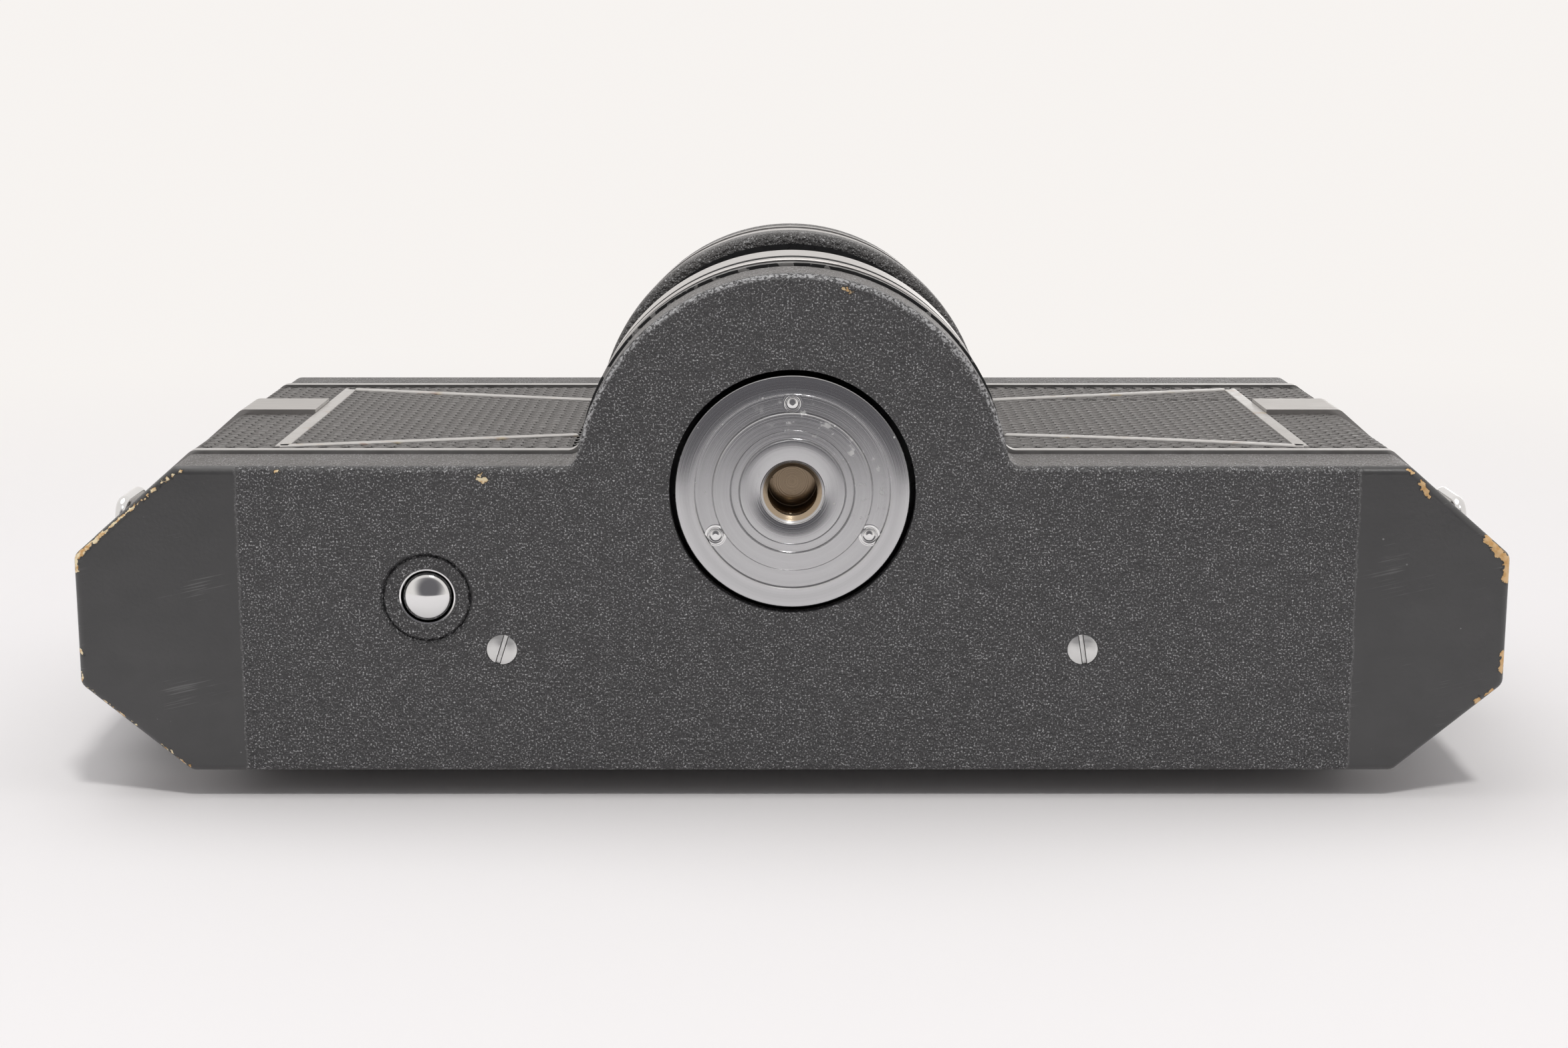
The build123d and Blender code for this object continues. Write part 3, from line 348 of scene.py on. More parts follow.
def bandSilver(place):  # turned lines on the turret, dark in the groove between them
    line = place.axis(2)
    groove = line.fade(15.4, 15.5) * line.fade(17.5, 17.6, 1.0, 0.0)
    brushed = place.noise(0.5, 3.0, (6, 6, 0.4))
    silver = place.noise(6.0, 3.0).tint((0.48, 0.465, 0.455), (0.56, 0.545, 0.535))
    return {
        "Base Color": groove.tint(silver, (0.015, 0.015, 0.016)),
        "Metallic": 1 - groove,
        "Roughness": brushed.fade(0.25, 0.75, 0.3, 0.44),
        "relief": brushed * 0.003,
    }


def wornTrim(place):  # bright along the wings, and painted and chipped round the turret
    onTurret = place.axis(1).fade(-3.7, -3.3, 1.0, 0.0)
    chips = place.noise(0.7, 3.0, (2.5, 2.5, 0.6)).fade(0.55, 0.6) * place.axis(2).fade(9.25, 9.4, 1.0, 0.0)
    painted = onTurret * (1 - chips)
    return {
        "Base Color": painted.tint((0.50, 0.49, 0.48), (0.022, 0.022, 0.023)),
        "Metallic": 0.9 - painted * 0.9,
        "Roughness": place.noise(0.5, 3.0, (6, 6, 0.5)).fade(0.25, 0.75, 0.3, 0.46),
        "relief": (1 - painted) * 0.02,
    }


def lensGlass(place):
    return {"Base Color": (0.010, 0.006, 0.018, 1), "Roughness": 0.03, "IOR": 1.7, "Coat Weight": 1.0,
            "Coat Tint": (0.75, 0.65, 1.0, 1), "Coat IOR": 1.9, "Coat Roughness": 0.02}


def clearGlass(place):
    return {"Base Color": (0.86, 0.92, 0.93, 1), "Roughness": 0.02, "IOR": 1.5, "Transmission Weight": 0.9}


def levelLiquid(place):
    return {"Base Color": place.noise(2.0).tint((0.30, 0.52, 0.06), (0.38, 0.62, 0.09)), "Roughness": 0.12,
            "Coat Weight": 1.0, "Coat Roughness": 0.02}


def whiteInk(place):
    return {"Base Color": place.noise(0.8).tint((0.62, 0.61, 0.58), (0.78, 0.77, 0.74)), "Roughness": 0.5}


def blackInk(place):
    return {"Base Color": place.noise(0.8).tint((0.012, 0.012, 0.012), (0.03, 0.03, 0.03)), "Roughness": 0.45}


painters = (platePaint, cracklePaint, leather, leatherGroove, satinBlack, matteBlack, turnedSteel,
            stainedTrim, wornTrim, bandSilver, lensGlass, clearGlass, levelLiquid, whiteInk, blackInk)
for paint in painters:
    finish(paint.__name__, paint)
finish("brightTrim", metal((0.54, 0.53, 0.52), 0.3, 0.46, 0.5, (6, 6, 0.5)))
finish("bandMetal", metal((0.50, 0.485, 0.47), 0.34, 0.46, 0.6, (6, 6, 0.6)))
finish("chrome", metal((0.82, 0.82, 0.82), 0.06, 0.12, 2.0, height=0.0008))
finish("knobSilver", metal((0.66, 0.66, 0.67), 0.22, 0.34, 0.3, (1, 1, 8)))
finish("screwSteel", metal((0.76, 0.76, 0.75), 0.28, 0.42, 0.3, (5, 0.6, 1), 0.008))
finish("darkSteel", metal((0.22, 0.22, 0.225), 0.3, 0.42, 0.6))
finish("brass", metal((0.70, 0.52, 0.26), 0.22, 0.36, 0.6))

finishOf = {
    "platePaint": "bottom_cover",
    "cracklePaint": "top_cover finder_housing",
    "satinBlack": "body_casting back_door eyepiece_ring take_up_spool",
    "leatherGroove": "leather_left leather_right door_leather",
    "wornTrim": "lower_trim",
    "matteBlack": "lens_drum slit_mask lens_barrel",
    "brightTrim": "upper_trim",
    "bandMetal": "side_band_left side_band_right",
    "lensGlass": "lens_front_glass lens_rear_glass",
    "clearGlass": "finder_front_glass eyepiece_glass",
    "levelLiquid": "level_vial",
    "chrome": "release_collar release_button level_bezel strap_lugs strap_ring_left strap_ring_right "
    "door_latch",
    "knobSilver": "wind_knob rewind_knob speed_dial aperture_dial counter_dial",
    "brass": "drum_bushes drum_gear governor_rotor spring_barrel wind_shaft rewind_collar",
    "darkSteel": "gear_posts film_gate roller_pins hinge_pin drum_pivots sprocket guide_roller_left "
    "guide_roller_right rewind_shaft",
}
for name, members in finishOf.items():
    for node in members.split():
        nodes[node].data.materials.clear()
        nodes[node].data.materials.append(finishes[name])
print("finishes on the solids:", len(finishOf))


# Mesh helpers

def linked(name, data):
    made = bpy.data.objects.new(name, data)
    bpy.context.scene.collection.objects.link(made)
    return made


def meshPiece(name, bm, material, sharp=None):  # sharp is the angle from which an edge stays sharp
    mesh = bpy.data.meshes.new(name)
    bm.to_mesh(mesh)
    bm.free()
    mesh.shade_smooth()
    if sharp:
        mesh.set_sharp_from_angle(angle=math.radians(sharp))
    mesh.materials.append(material)
    return linked(name, mesh)


def addPiece(name, bm, body, finishName, at=None, stands=(), sharp=35):
    if at is not None:
        bm.transform(at)
    bmesh.ops.recalc_face_normals(bm, faces=bm.faces)
    piece = meshPiece(name, bm, finishes[finishName], sharp)
    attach(piece, body)
    if stands:
        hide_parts(*stands)
    return piece


def everything(bm):
    return list(bm.verts) + list(bm.edges) + list(bm.faces)


def newVerts(grown):  # the vertices that an extrusion made
    return [v for v in grown["geom"] if isinstance(v, bmesh.types.BMVert)]


def shift(x, y, z):
    return Matrix.Translation(Vector((x, y, z)) * mm)


def turn(degrees, axis="Z"):
    return Matrix.Rotation(math.radians(degrees), 4, axis)


def turned(profile, closed=False, start=0.0, sweep=360.0, steps=96):  # profile of (radius, height) in mm
    bm = bmesh.new()
    points = [bm.verts.new((r * mm, 0, z * mm)) for r, z in profile]
    ends = list(zip(points, points[1:] + points[:1]))
    edges = [bm.edges.new(pair) for pair in (ends if closed else ends[:-1])]
    geom = points + edges
    if closed and sweep < 360:
        geom.append(bm.faces.new(points))
    bmesh.ops.rotate(bm, verts=points, cent=(0, 0, 0), matrix=Matrix.Rotation(math.radians(start), 3, "Z"))
    bmesh.ops.spin(bm, geom=geom, cent=(0, 0, 0), axis=(0, 0, 1), angle=math.radians(sweep), steps=steps,
                   use_merge=sweep == 360, use_duplicate=False)
    bmesh.ops.remove_doubles(bm, verts=bm.verts, dist=1e-7)
    return bm


def arc(x, z, radius, start, end, count=6):  # points of a rounded corner in a profile
    angles = [math.radians(start + (end - start) * i / count) for i in range(count + 1)]
    return [(x + radius * math.cos(a), z + radius * math.sin(a)) for a in angles]


def bevelled(bm, edges, width):
    bmesh.ops.bevel(bm, geom=edges, offset=width * mm, offset_type="OFFSET", affect="EDGES", segments=2,
                    profile=0.5, material=-1)
    return bm


def bar(length, width, height, bevel=0.1, cuts=0):
    bm = bmesh.new()
    bmesh.ops.create_cube(bm, size=1.0)
    bmesh.ops.scale(bm, vec=Vector((length, width, height)) * mm, verts=bm.verts)
    if cuts:
        long = [e for e in bm.edges if abs((e.verts[0].co - e.verts[1].co).x) > 0.5 * length * mm]
        bmesh.ops.subdivide_edges(bm, edges=long, cuts=cuts)
        return bevelled(bm, [e for e in bm.edges if e.calc_face_angle(0) > 0.5], bevel)
    return bevelled(bm, list(bm.edges), bevel)


def joined(parts):
    bm = bmesh.new()
    for part, at in parts:
        part.transform(at)
        mesh = bpy.data.meshes.new("part")
        part.to_mesh(mesh)
        part.free()
        bm.from_mesh(mesh)
        bpy.data.meshes.remove(mesh)
    return bm


def lettering(words):  # words of (text, height in mm, place), as one raised mesh
    parts = []
    for text, height, at in words:
        curve = bpy.data.curves.new("letters", "FONT")
        curve.body, curve.size, curve.extrude = text, height * mm, 0.03 * mm
        curve.align_x, curve.align_y, curve.resolution_u = "CENTER", "CENTER", 3
        letters = linked("letters", curve)
        bpy.context.view_layer.update()
        mesh = bpy.data.meshes.new_from_object(letters)
        part = bmesh.new()
        part.from_mesh(mesh)
        parts.append((part, at))
        bpy.data.objects.remove(letters)
        bpy.data.meshes.remove(mesh)
    return joined(parts)


# Photo camera: on its back, the body shows its base to the lens

photo = {"width": 2346, "focal": 3694.2, "place": (-1.32, -46.43, -251.77), "pitch": 11.18, "yaw": 0.1}
pitch, yaw = math.radians(photo["pitch"]), math.radians(photo["yaw"])
ahead = Vector((math.sin(yaw) * math.cos(pitch), math.sin(pitch), math.cos(yaw) * math.cos(pitch)))
right = Vector((1, 0, 0)) - ahead * ahead.x
right.normalize()
upward = (-ahead).cross(right)
cameraData = bpy.data.cameras.new("photoCamera")
cameraData.sensor_width = 36.0
cameraData.lens = photo["focal"] / photo["width"] * cameraData.sensor_width
cameraData.clip_start, cameraData.clip_end = 0.01, 20.0
photoCamera = linked("photoCamera", cameraData)
photoCamera.matrix_world = shift(*photo["place"]) @ Matrix((right, upward, -ahead)).transposed().to_4x4()
bpy.context.scene.camera = photoCamera


# Stage: a table behind the back door that sweeps up far away, and a floor under the base

stage = {
    "table": (0.86, 0.845, 0.85), "wall": (0.93, 0.90, 0.875), "floor": (0.86, 0.86, 0.86),
    "tableY": 0.0331, "near": -0.21, "bend": 1.1, "rise": 0.5, "height": 2.5, "half": 2.4,
    "glowFrom": 0.12, "glowTo": 0.4, "floorZ": -0.00005,
}


def stageFinish(name, colour):
    made = bpy.data.materials.new(name)
    made.use_nodes = True
    made.node_tree.nodes.clear()
    start = Wire(made.node_tree)
    diffuse = start.add("BsdfDiffuse", None, {"Color": (*colour, 1)})
    light = start.add("Emission", None, {"Color": (*stage["wall"], 1), "Strength": 1.0})
    seen = start.add("LightPath", out=0).most(start.add("LightPath", out=3))
    away = start.vector("LENGTH", start.add("TexCoord", out=3), out=1)
    away = away.fade(stage["glowFrom"], stage["glowTo"])
    shown = start.add("MixShader", None, {0: seen * away, 1: diffuse, 2: light})
    behind = start.add("NewGeometry", out=6)
    hidden = behind.most(start.add("LightPath", out=1))  # lamps behind it still reach the object
    surface = start.add("MixShader", None, {0: hidden, 1: shown, 2: start.add("BsdfTransparent")})
    start.add("OutputMaterial", None, {"Surface": surface})
    return made


def addStage(name, bm, material):
    piece = meshPiece(name, bm, material)
    return piece


def tableSweep():
    bm = bmesh.new()
    tableY, bend, rise = stage["tableY"], stage["bend"], stage["rise"]
    line = [(tableY, stage["near"]), (tableY, 0.0), (tableY, bend)]
    for i in range(1, 17):
        angle = math.radians(90 * i / 16)
        line.append((tableY - rise * (1 - math.cos(angle)), bend + rise * math.sin(angle)))
    line.append((tableY - stage["height"], bend + rise))
    points = [bm.verts.new((-stage["half"], y, z)) for y, z in line]
    edges = [bm.edges.new(pair) for pair in zip(points, points[1:])]
    grown = bmesh.ops.extrude_edge_only(bm, edges=edges)
    bmesh.ops.translate(bm, vec=(2 * stage["half"], 0, 0), verts=newVerts(grown))
    for face in bm.faces:
        face.normal_update()
    if bm.faces[:][0].normal.y > 0:
        bmesh.ops.reverse_faces(bm, faces=bm.faces)
    return bm


addStage("table", tableSweep(), stageFinish("tableCloth", stage["table"]))

floorMesh = bmesh.new()
bmesh.ops.create_grid(floorMesh, x_segments=1, y_segments=1, size=stage["half"])
bmesh.ops.translate(floorMesh, vec=(0, 0, stage["floorZ"]), verts=floorMesh.verts)
floor = addStage("floor", floorMesh, stageFinish("floorPaper", stage["floor"]))
for rays in ("visible_shadow", "visible_diffuse", "visible_glossy", "visible_transmission"):
    setattr(floor, rays, False)


# Light: a small lamp over the photo's table, soft ones over it, and two for the upright body

low, high, warm = (0, 0, 0.02), (0, 0, 0.04), (1, 0.99, 0.98)
lamps = {
    "key": {"place": (0.12, -0.98, -0.49), "aim": low, "size": 0.14, "power": 4.0, "tone": (1, 0.99, 0.97)},
    "soft": {"place": (-0.25, -1.05, 0.3), "aim": low, "size": 0.9, "power": 2.3, "tone": (1, 1, 1)},
    "above": {"place": (0.35, 0.25, 1.2), "aim": high, "size": 0.8, "power": 3.5, "tone": warm},
    "back": {"place": (0.3, 1.0, 0.9), "aim": high, "size": 0.9, "power": 2.8, "tone": warm},
}
for name, lamp in lamps.items():
    data = bpy.data.lights.new(name, "AREA")
    data.shape, data.size, data.energy, data.color = "DISK", lamp["size"], lamp["power"], lamp["tone"]
    light = linked(name, data)
    light.location = lamp["place"]
    light.rotation_mode = "QUATERNION"
    light.rotation_quaternion = (Vector(lamp["aim"]) - Vector(lamp["place"])).to_track_quat("-Z", "Y")

air = {"towards": (0, -0.2, -0.98), "pale": (0.92, 0.905, 0.90), "dim": (0.23, 0.225, 0.23),
       "mirrored": (0.16, 0.155, 0.165)}
room = bpy.data.worlds.new("room")
room.use_nodes = True
room.node_tree.nodes.clear()
start = Wire(room.node_tree)
toPhoto = start.vector("DOT_PRODUCT", start.add("TexCoord"), air["towards"], out=1)  # 1 at the photo camera
mirrored = toPhoto.fade(0.72, 0.95).tint([c * 0.95 for c in stage["wall"]], air["mirrored"])
soft = toPhoto.fade(0.35, 0.75).tint(air["pale"], air["dim"])  # little light from the photo camera's side
glow, mirror, wall = (start.add("Background", None, {"Color": colour, "Strength": 1.0})
                      for colour in (soft, mirrored, (*stage["wall"], 1)))
seen = start.add("LightPath", out=0).most(start.add("LightPath", out=6))
shown = start.add("MixShader", None, {0: start.add("LightPath", out=3), 1: glow, 2: mirror})
start.add("OutputWorld", None, {"Surface": start.add("MixShader", None, {0: seen, 1: shown, 2: wall})})
bpy.context.scene.world = room
bpy.context.scene.view_settings.view_transform = "Standard"
print("camera, stage and light")


# Tripod disc, turned from one bar, with its threaded socket

def tripodDisc():
    edge, (wideOut, wideIn, wideDeep) = disc["edge"], disc["wide"]
    thickness, neck, neckTop = disc["thickness"], disc["neck"], disc["neckTop"]
    narrowOut, narrowIn, narrowDeep = disc["narrow"]
    profile = [(0, disc["depth"]), (disc["minor"], disc["depth"])]
    threads = int((disc["depth"] - 1.0) / disc["pitch"])
    for i in range(threads):
        top = disc["depth"] - 0.3 - i * disc["pitch"]
        profile += [(disc["minor"], top), (disc["bore"], top - disc["pitch"] / 2)]
    profile += [(disc["minor"], 0.75), (disc["bore"] + 0.12, 0.12)]
    profile += arc(disc["bore"] + 0.3, 0.12, 0.18, 180, 270, 3)
    lip = disc["lip"]
    for low, high, deep in ((narrowIn, narrowOut, narrowDeep), (wideIn, wideOut, wideDeep)):
        profile += [(low - lip, 0.0), (low, lip), (low + lip, deep)]
        profile += [(high - lip, deep), (high, lip), (high + lip, 0.0)]
    profile += arc(disc["outer"] - edge, edge, edge, 270, 360, 3)
    profile += [(disc["outer"], thickness), (neck, thickness), (neck, neckTop), (0, neckTop)]
    return turned(profile, steps=144)


addPiece("tripodDisc", tripodDisc(), "camera_body", "turnedSteel", None, ["tripod_disc"], 25)


def discPins():
    parts = []
    radius, seat = disc["pinRadius"], disc["pinSeat"]
    for i in range(3):
        angle = math.radians(-90 + 120 * i)
        head = [(0, 0.34)] + arc(0.0, 1.46, 1.18, 270, 306, 4)[1:]
        head += [(radius - 0.12, 0.36), (radius - 0.06, 0.26), (radius, 0.3)]
        head += [(radius + 0.02, 0.44), (radius + 0.14, 0.44), (radius + 0.16, 0.32)]
        head += [(seat, 0.32), (seat, disc["thickness"])]
        at = shift(disc["pins"] * math.cos(angle), disc["pins"] * math.sin(angle), 0)
        parts.append((turned(head, steps=48), at))
    return joined(parts)


addPiece("discPins", discPins(), "camera_body", "chrome", stands=["disc_screws"])

screw = {
    "radius": 1.62, "height": 0.85, "slot": 0.42, "slotDepth": 0.38, "bevel": 0.07,
    "base": ((-30.5, -72), (30.5, -99)), "baseY": 16.8, "baseZ": 0.06,  # each with the turn of its slot
    "roof": ((-47, 1.9, 20), (-47, 25, 65), (47, 1.9, -30), (47, 25, 5)), "roofZ": 69.25,
}


def screwHead():  # face down at z 0, slot along X
    bm = bmesh.new()
    bmesh.ops.create_circle(bm, cap_ends=True, segments=48, radius=screw["radius"] * mm)
    for side in (-1, 1):
        bmesh.ops.bisect_plane(bm, geom=everything(bm), dist=1e-7,
                               plane_co=(0, side * screw["slot"] / 2 * mm, 0), plane_no=(0, 1, 0))
    floorFace = min(bm.faces, key=lambda f: abs(f.calc_center_median().y))
    bmesh.ops.delete(bm, geom=[floorFace], context="FACES_ONLY")
    grown = bmesh.ops.extrude_face_region(bm, geom=list(bm.faces))
    bmesh.ops.translate(bm, vec=(0, 0, screw["slotDepth"] * mm), verts=newVerts(grown))
    bmesh.ops.recalc_face_normals(bm, faces=bm.faces)
    rims = [e for e in bm.edges if e.calc_face_angle(0) > 1.2 and all(v.co.z < 1e-6 for v in e.verts)]
    bevelled(bm, rims, screw["bevel"])
    under = bmesh.new()
    radius, depth = screw["radius"] * mm, (screw["height"] - screw["slotDepth"]) * mm
    bmesh.ops.create_cone(under, cap_ends=True, segments=48, radius1=radius, radius2=radius, depth=depth)
    middle = (screw["height"] + screw["slotDepth"]) / 2
    return joined([(bm, Matrix.Identity(4)), (under, shift(0, 0, middle))])


baseScrews = [shift(x, screw["baseY"], screw["baseZ"]) @ turn(slot) for x, slot in screw["base"]]
roofScrews = [shift(x, y, screw["roofZ"]) @ turn(180, "X") @ turn(slot) for x, y, slot in screw["roof"]]
screws = {"baseScrews": (baseScrews, "cover_screws"), "roofScrews": (roofScrews, "top_screws")}
for name, (places, stood) in screws.items():
    heads = joined([(screwHead(), at) for at in places])
    addPiece(name, heads, "camera_body", "screwSteel", stands=[stood])

button = {
    "x": -38.3, "y": 11.3, "radius": 2.7, "crown": 0.1, "dome": 0.62,
    "flange": 3.3, "flangeLow": 4.9, "flangeTop": 5.7, "stem": 1.3, "stemTop": 7.5,
}
buttonPlace = shift(button["x"], button["y"], 0)


def buttonCap():  # domed, so that it gathers the whole room in its face
    radius, crown, dome = button["radius"], button["crown"], button["dome"]
    flange, flangeTop = button["flange"], button["flangeTop"]
    profile = [(0, crown)] + [(radius * 0.88 * i / 8, crown + dome * (i / 8) ** 2) for i in range(1, 9)]
    profile += [(radius - 0.1, crown + dome + 0.35), (radius, crown + 1.6), (radius, button["flangeLow"])]
    profile += [(flange, button["flangeLow"]), (flange, flangeTop)]
    profile += [(button["stem"], flangeTop), (button["stem"], button["stemTop"]), (0, button["stemTop"])]
    return turned(profile, steps=72)


def dishRing():  # painted floor of the dish round the button
    profile = [(4.93, 0.03), (4.88, 1.2), (4.62, 1.2), (4.54, 0.5), (4.36, 0.32)]
    profile += [(3.5, 0.4), (3.08, 0.6), (2.95, 0.9), (2.95, 2.9), (3.3, 2.9)]
    return turned(profile, closed=True, steps=96)


stood = ["rewind_release_button"]
addPiece("rewindButton", buttonCap(), "rewind_release", "chrome", buttonPlace, stood)
dishCollar = turned([(2.79, 1.0), (2.96, 0.95), (2.96, 2.9), (2.79, 2.9)], closed=True, steps=72)
addPiece("dishCollar", dishCollar, "camera_body", "chrome", buttonPlace)
addPiece("dishRing", dishRing(), "camera_body", "platePaint", buttonPlace)


# Return springs, coiled to the size of the spring parts they stand in for

coil = {"turns": 4, "steps": 24, "wire": 0.3}
coils = {  # seat is the height of the fixed end, and travel the button's
    "releaseCoil": {"node": "release_spring", "joint": "release_press", "seat": 61.3, "travel": 2.0},
    "rewindCoil": {"node": "button_spring", "joint": "rewind_release_press", "seat": 10.6, "travel": 1.8},
}


def springCoil(radius, low, high):
    bm = bmesh.new()
    bmesh.ops.create_circle(bm, cap_ends=False, segments=10, radius=coil["wire"] * mm)
    bm.transform(shift(radius, 0, low + coil["wire"]) @ turn(90, "X"))
    steps = coil["turns"] * coil["steps"]
    climb = (high - low - 2 * coil["wire"]) / steps * mm
    loop = list(bm.verts) + list(bm.edges)
    bmesh.ops.spin(bm, geom=loop, cent=(0, 0, 0), axis=(0, 0, 1), dvec=(0, 0, climb),
                   angle=math.radians(360 * coil["turns"]), steps=steps, use_duplicate=False)
    bmesh.ops.holes_fill(bm, edges=[e for e in bm.edges if e.is_boundary], sides=0)
    return bm


for name, spring in coils.items():
    lowest, highest = (Vector(corner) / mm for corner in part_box(spring["node"]))
    middle = (lowest + highest) / 2
    made = springCoil((highest.x - lowest.x) / 2 - coil["wire"], lowest.z, highest.z)
    at = shift(middle.x, middle.y, 0)
    piece = addPiece(name, made, "camera_body", "darkSteel", at, [spring["node"]])
    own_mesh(piece)


# Turret rings: round-edged bands that stop where the body begins

ring = {
    "outer": 23.0, "inner": 22.0, "lip": 23.35, "endY": 4.75, "ease": 0.12, "grooveDepth": 0.4,
    "low": 13.6, "grooveLow": 15.6, "grooveHigh": 17.4, "high": 25.0,  # lower band
    "lipLow": 45.0, "lipHigh": 49.5, "wallHigh": 59.2, "silverLow": 49.9, "silverHigh": 56.62,  # upper band
}


def turretBand(profile):
    stop = math.degrees(math.asin(ring["endY"] / ring["outer"]))
    return turned(profile, closed=True, start=180 + stop, sweep=180 - 2 * stop, steps=96)


def lowerBand():
    outer, inner, ease = ring["outer"], ring["inner"], ring["ease"]
    low, high, groove = ring["grooveLow"], ring["grooveHigh"], outer - ring["grooveDepth"]
    profile = [(inner, ring["low"]), (outer - ease, ring["low"]), (outer, ring["low"] + ease)]
    profile += [(outer, low - ease), (outer - ease, low), (groove, low)]
    profile += [(groove, high), (outer - ease, high), (outer, high + ease)]
    profile += arc(outer - 0.3, ring["high"] - 0.3, 0.3, 0, 90, 4) + [(inner, ring["high"])]
    return turretBand(profile)


def upperBand():  # crackled lip and the wall behind the silver band
    lip, wall, inner = ring["lip"], ring["outer"] - 0.15, ring["inner"]
    profile = [(inner, ring["lipLow"])] + arc(lip - 1.0, ring["lipLow"] + 1.0, 1.0, 270, 360, 8)
    profile += [(lip, ring["lipHigh"] - 0.2), (lip - 0.12, ring["lipHigh"]), (wall, ring["lipHigh"] + 0.05)]
    profile += [(wall, ring["wallHigh"] - 0.1), (wall - 0.1, ring["wallHigh"]), (inner, ring["wallHigh"])]
    return turretBand(profile)


def silverBand():
    outer, ease, low, high = ring["outer"], ring["ease"], ring["silverLow"], ring["silverHigh"]
    profile = [(outer - 0.5, low), (outer - ease, low), (outer, low + ease)]
    profile += [(outer, high - ease), (outer - ease, high), (outer - 0.5, high)]
    return turretBand(profile)


def grooveFloor():  # dark floor of the groove between the two silver lines
    inside, outside = ring["inner"] + 0.3, ring["outer"] - 0.28
    low, high = ring["grooveLow"] - 0.04, ring["grooveHigh"] + 0.04
    return turretBand([(inside, low), (outside, low), (outside, high), (inside, high)])


addPiece("turretGroove", grooveFloor(), "camera_body", "matteBlack")
lower, upper = ["turret_ring_lower"], ["turret_ring_upper"]
addPiece("turretBandLower", lowerBand(), "camera_body", "bandSilver", stands=lower)
addPiece("turretBandUpper", upperBand(), "camera_body", "cracklePaint", stands=upper)
addPiece("turretBandSilver", silverBand(), "camera_body", "bandSilver")


# Trapezoid frames on the front leather, silver and stained

trapezoid = {"outerX": 55.8, "innerX": 24.0, "low": 10.8, "high": 56.0, "innerLow": 18.4, "innerHigh": 45.2,
             "line": 1.5, "frontY": -2.65, "proud": 0.42, "bow": 0.75}


def slantBar(x0, z0, x1, z1, bow=0.0):
    length = math.hypot(x1 - x0, z1 - z0)
    bm = bar(length + 0.6, trapezoid["proud"] + 0.2, trapezoid["line"], 0.12, 24 if bow else 0)
    for vert in bm.verts:
        share = 2 * vert.co.x / (length * mm)
        vert.co.z += bow * mm * (1 - share * share)
    middle = shift((x0 + x1) / 2, trapezoid["frontY"] - trapezoid["proud"] / 2 + 0.1, (z0 + z1) / 2)
    return bm, middle @ turn(-math.degrees(math.atan2(z1 - z0, x1 - x0)), "Y")


def frameSide(side, bow=0.0):  # the lower bar bows
    half = trapezoid["line"] / 2
    inner, outer = side * trapezoid["innerX"], side * (trapezoid["outerX"] - half)
    low, high = trapezoid["low"] + half, trapezoid["high"] - half
    bars = [slantBar(inner, trapezoid["innerLow"] + half, outer, low, bow),
            slantBar(inner, trapezoid["innerHigh"] + half, outer, high), slantBar(outer, low, outer, high)]
    return joined(bars)


addPiece("frameLeft", frameSide(-1), "camera_body", "stainedTrim", stands=["frame_left"])
rightFrame = frameSide(1, trapezoid["bow"])
addPiece("frameRight", rightFrame, "camera_body", "stainedTrim", stands=["frame_right"])
print("disc, screws, button, bands and frames")


# Leatherette: a sheet of small raised diamonds, laid round the body's corners

diamond = {
    "wide": 2.48, "tall": 1.8, "slope": 0.22, "rise": 0.2, "crown": 0.22, "crownRise": 0.07, "corner": 1.2,
    "least": 0.32, "skirt": 0.3, "lift": 0.02,  # smaller scraps of a diamond, in mm2, stay flat
}


def walkOutline(corners):  # a path in plan, with its corners rounded, as (length, place from distance) pieces
    points = [Vector(corner) for corner in corners]
    pieces, begin = [], points[0]
    for before, corner, after in zip(points, points[1:], points[2:]):
        first, second = (corner - before).normalized(), (after - corner).normalized()
        bend = first.angle(second)
        trim = diamond["corner"] * math.tan(bend / 2)
        stop = corner - first * trim
        pieces.append(("straight", (stop - begin).length, begin, first))
        pieces.append(("bend", diamond["corner"] * bend, stop, first))
        begin = corner + second * trim
    pieces.append(("straight", (points[-1] - begin).length, begin, (points[-1] - begin).normalized()))
    return pieces


def outlinePlace(pieces, distance):  # place and outward way at a distance along the path, which turns left
    for kind, length, begin, way in pieces:
        if distance <= length or (kind, length, begin, way) == pieces[-1]:
            break
        distance -= length
    out = Vector((way.y, -way.x))
    if kind == "straight":
        return begin + way * distance, out
    turnBack = distance / diamond["corner"]
    centre = begin - out * diamond["corner"]
    out = out * math.cos(turnBack) + way * math.sin(turnBack)
    return centre + out * diamond["corner"], out


def cutSheet(bm, at, way, away=False):  # away takes off what lies beyond the cut
    bmesh.ops.bisect_plane(bm, geom=everything(bm), dist=1e-5, plane_co=(*at, 0), plane_no=(*way, 0),
                           clear_outer=away)


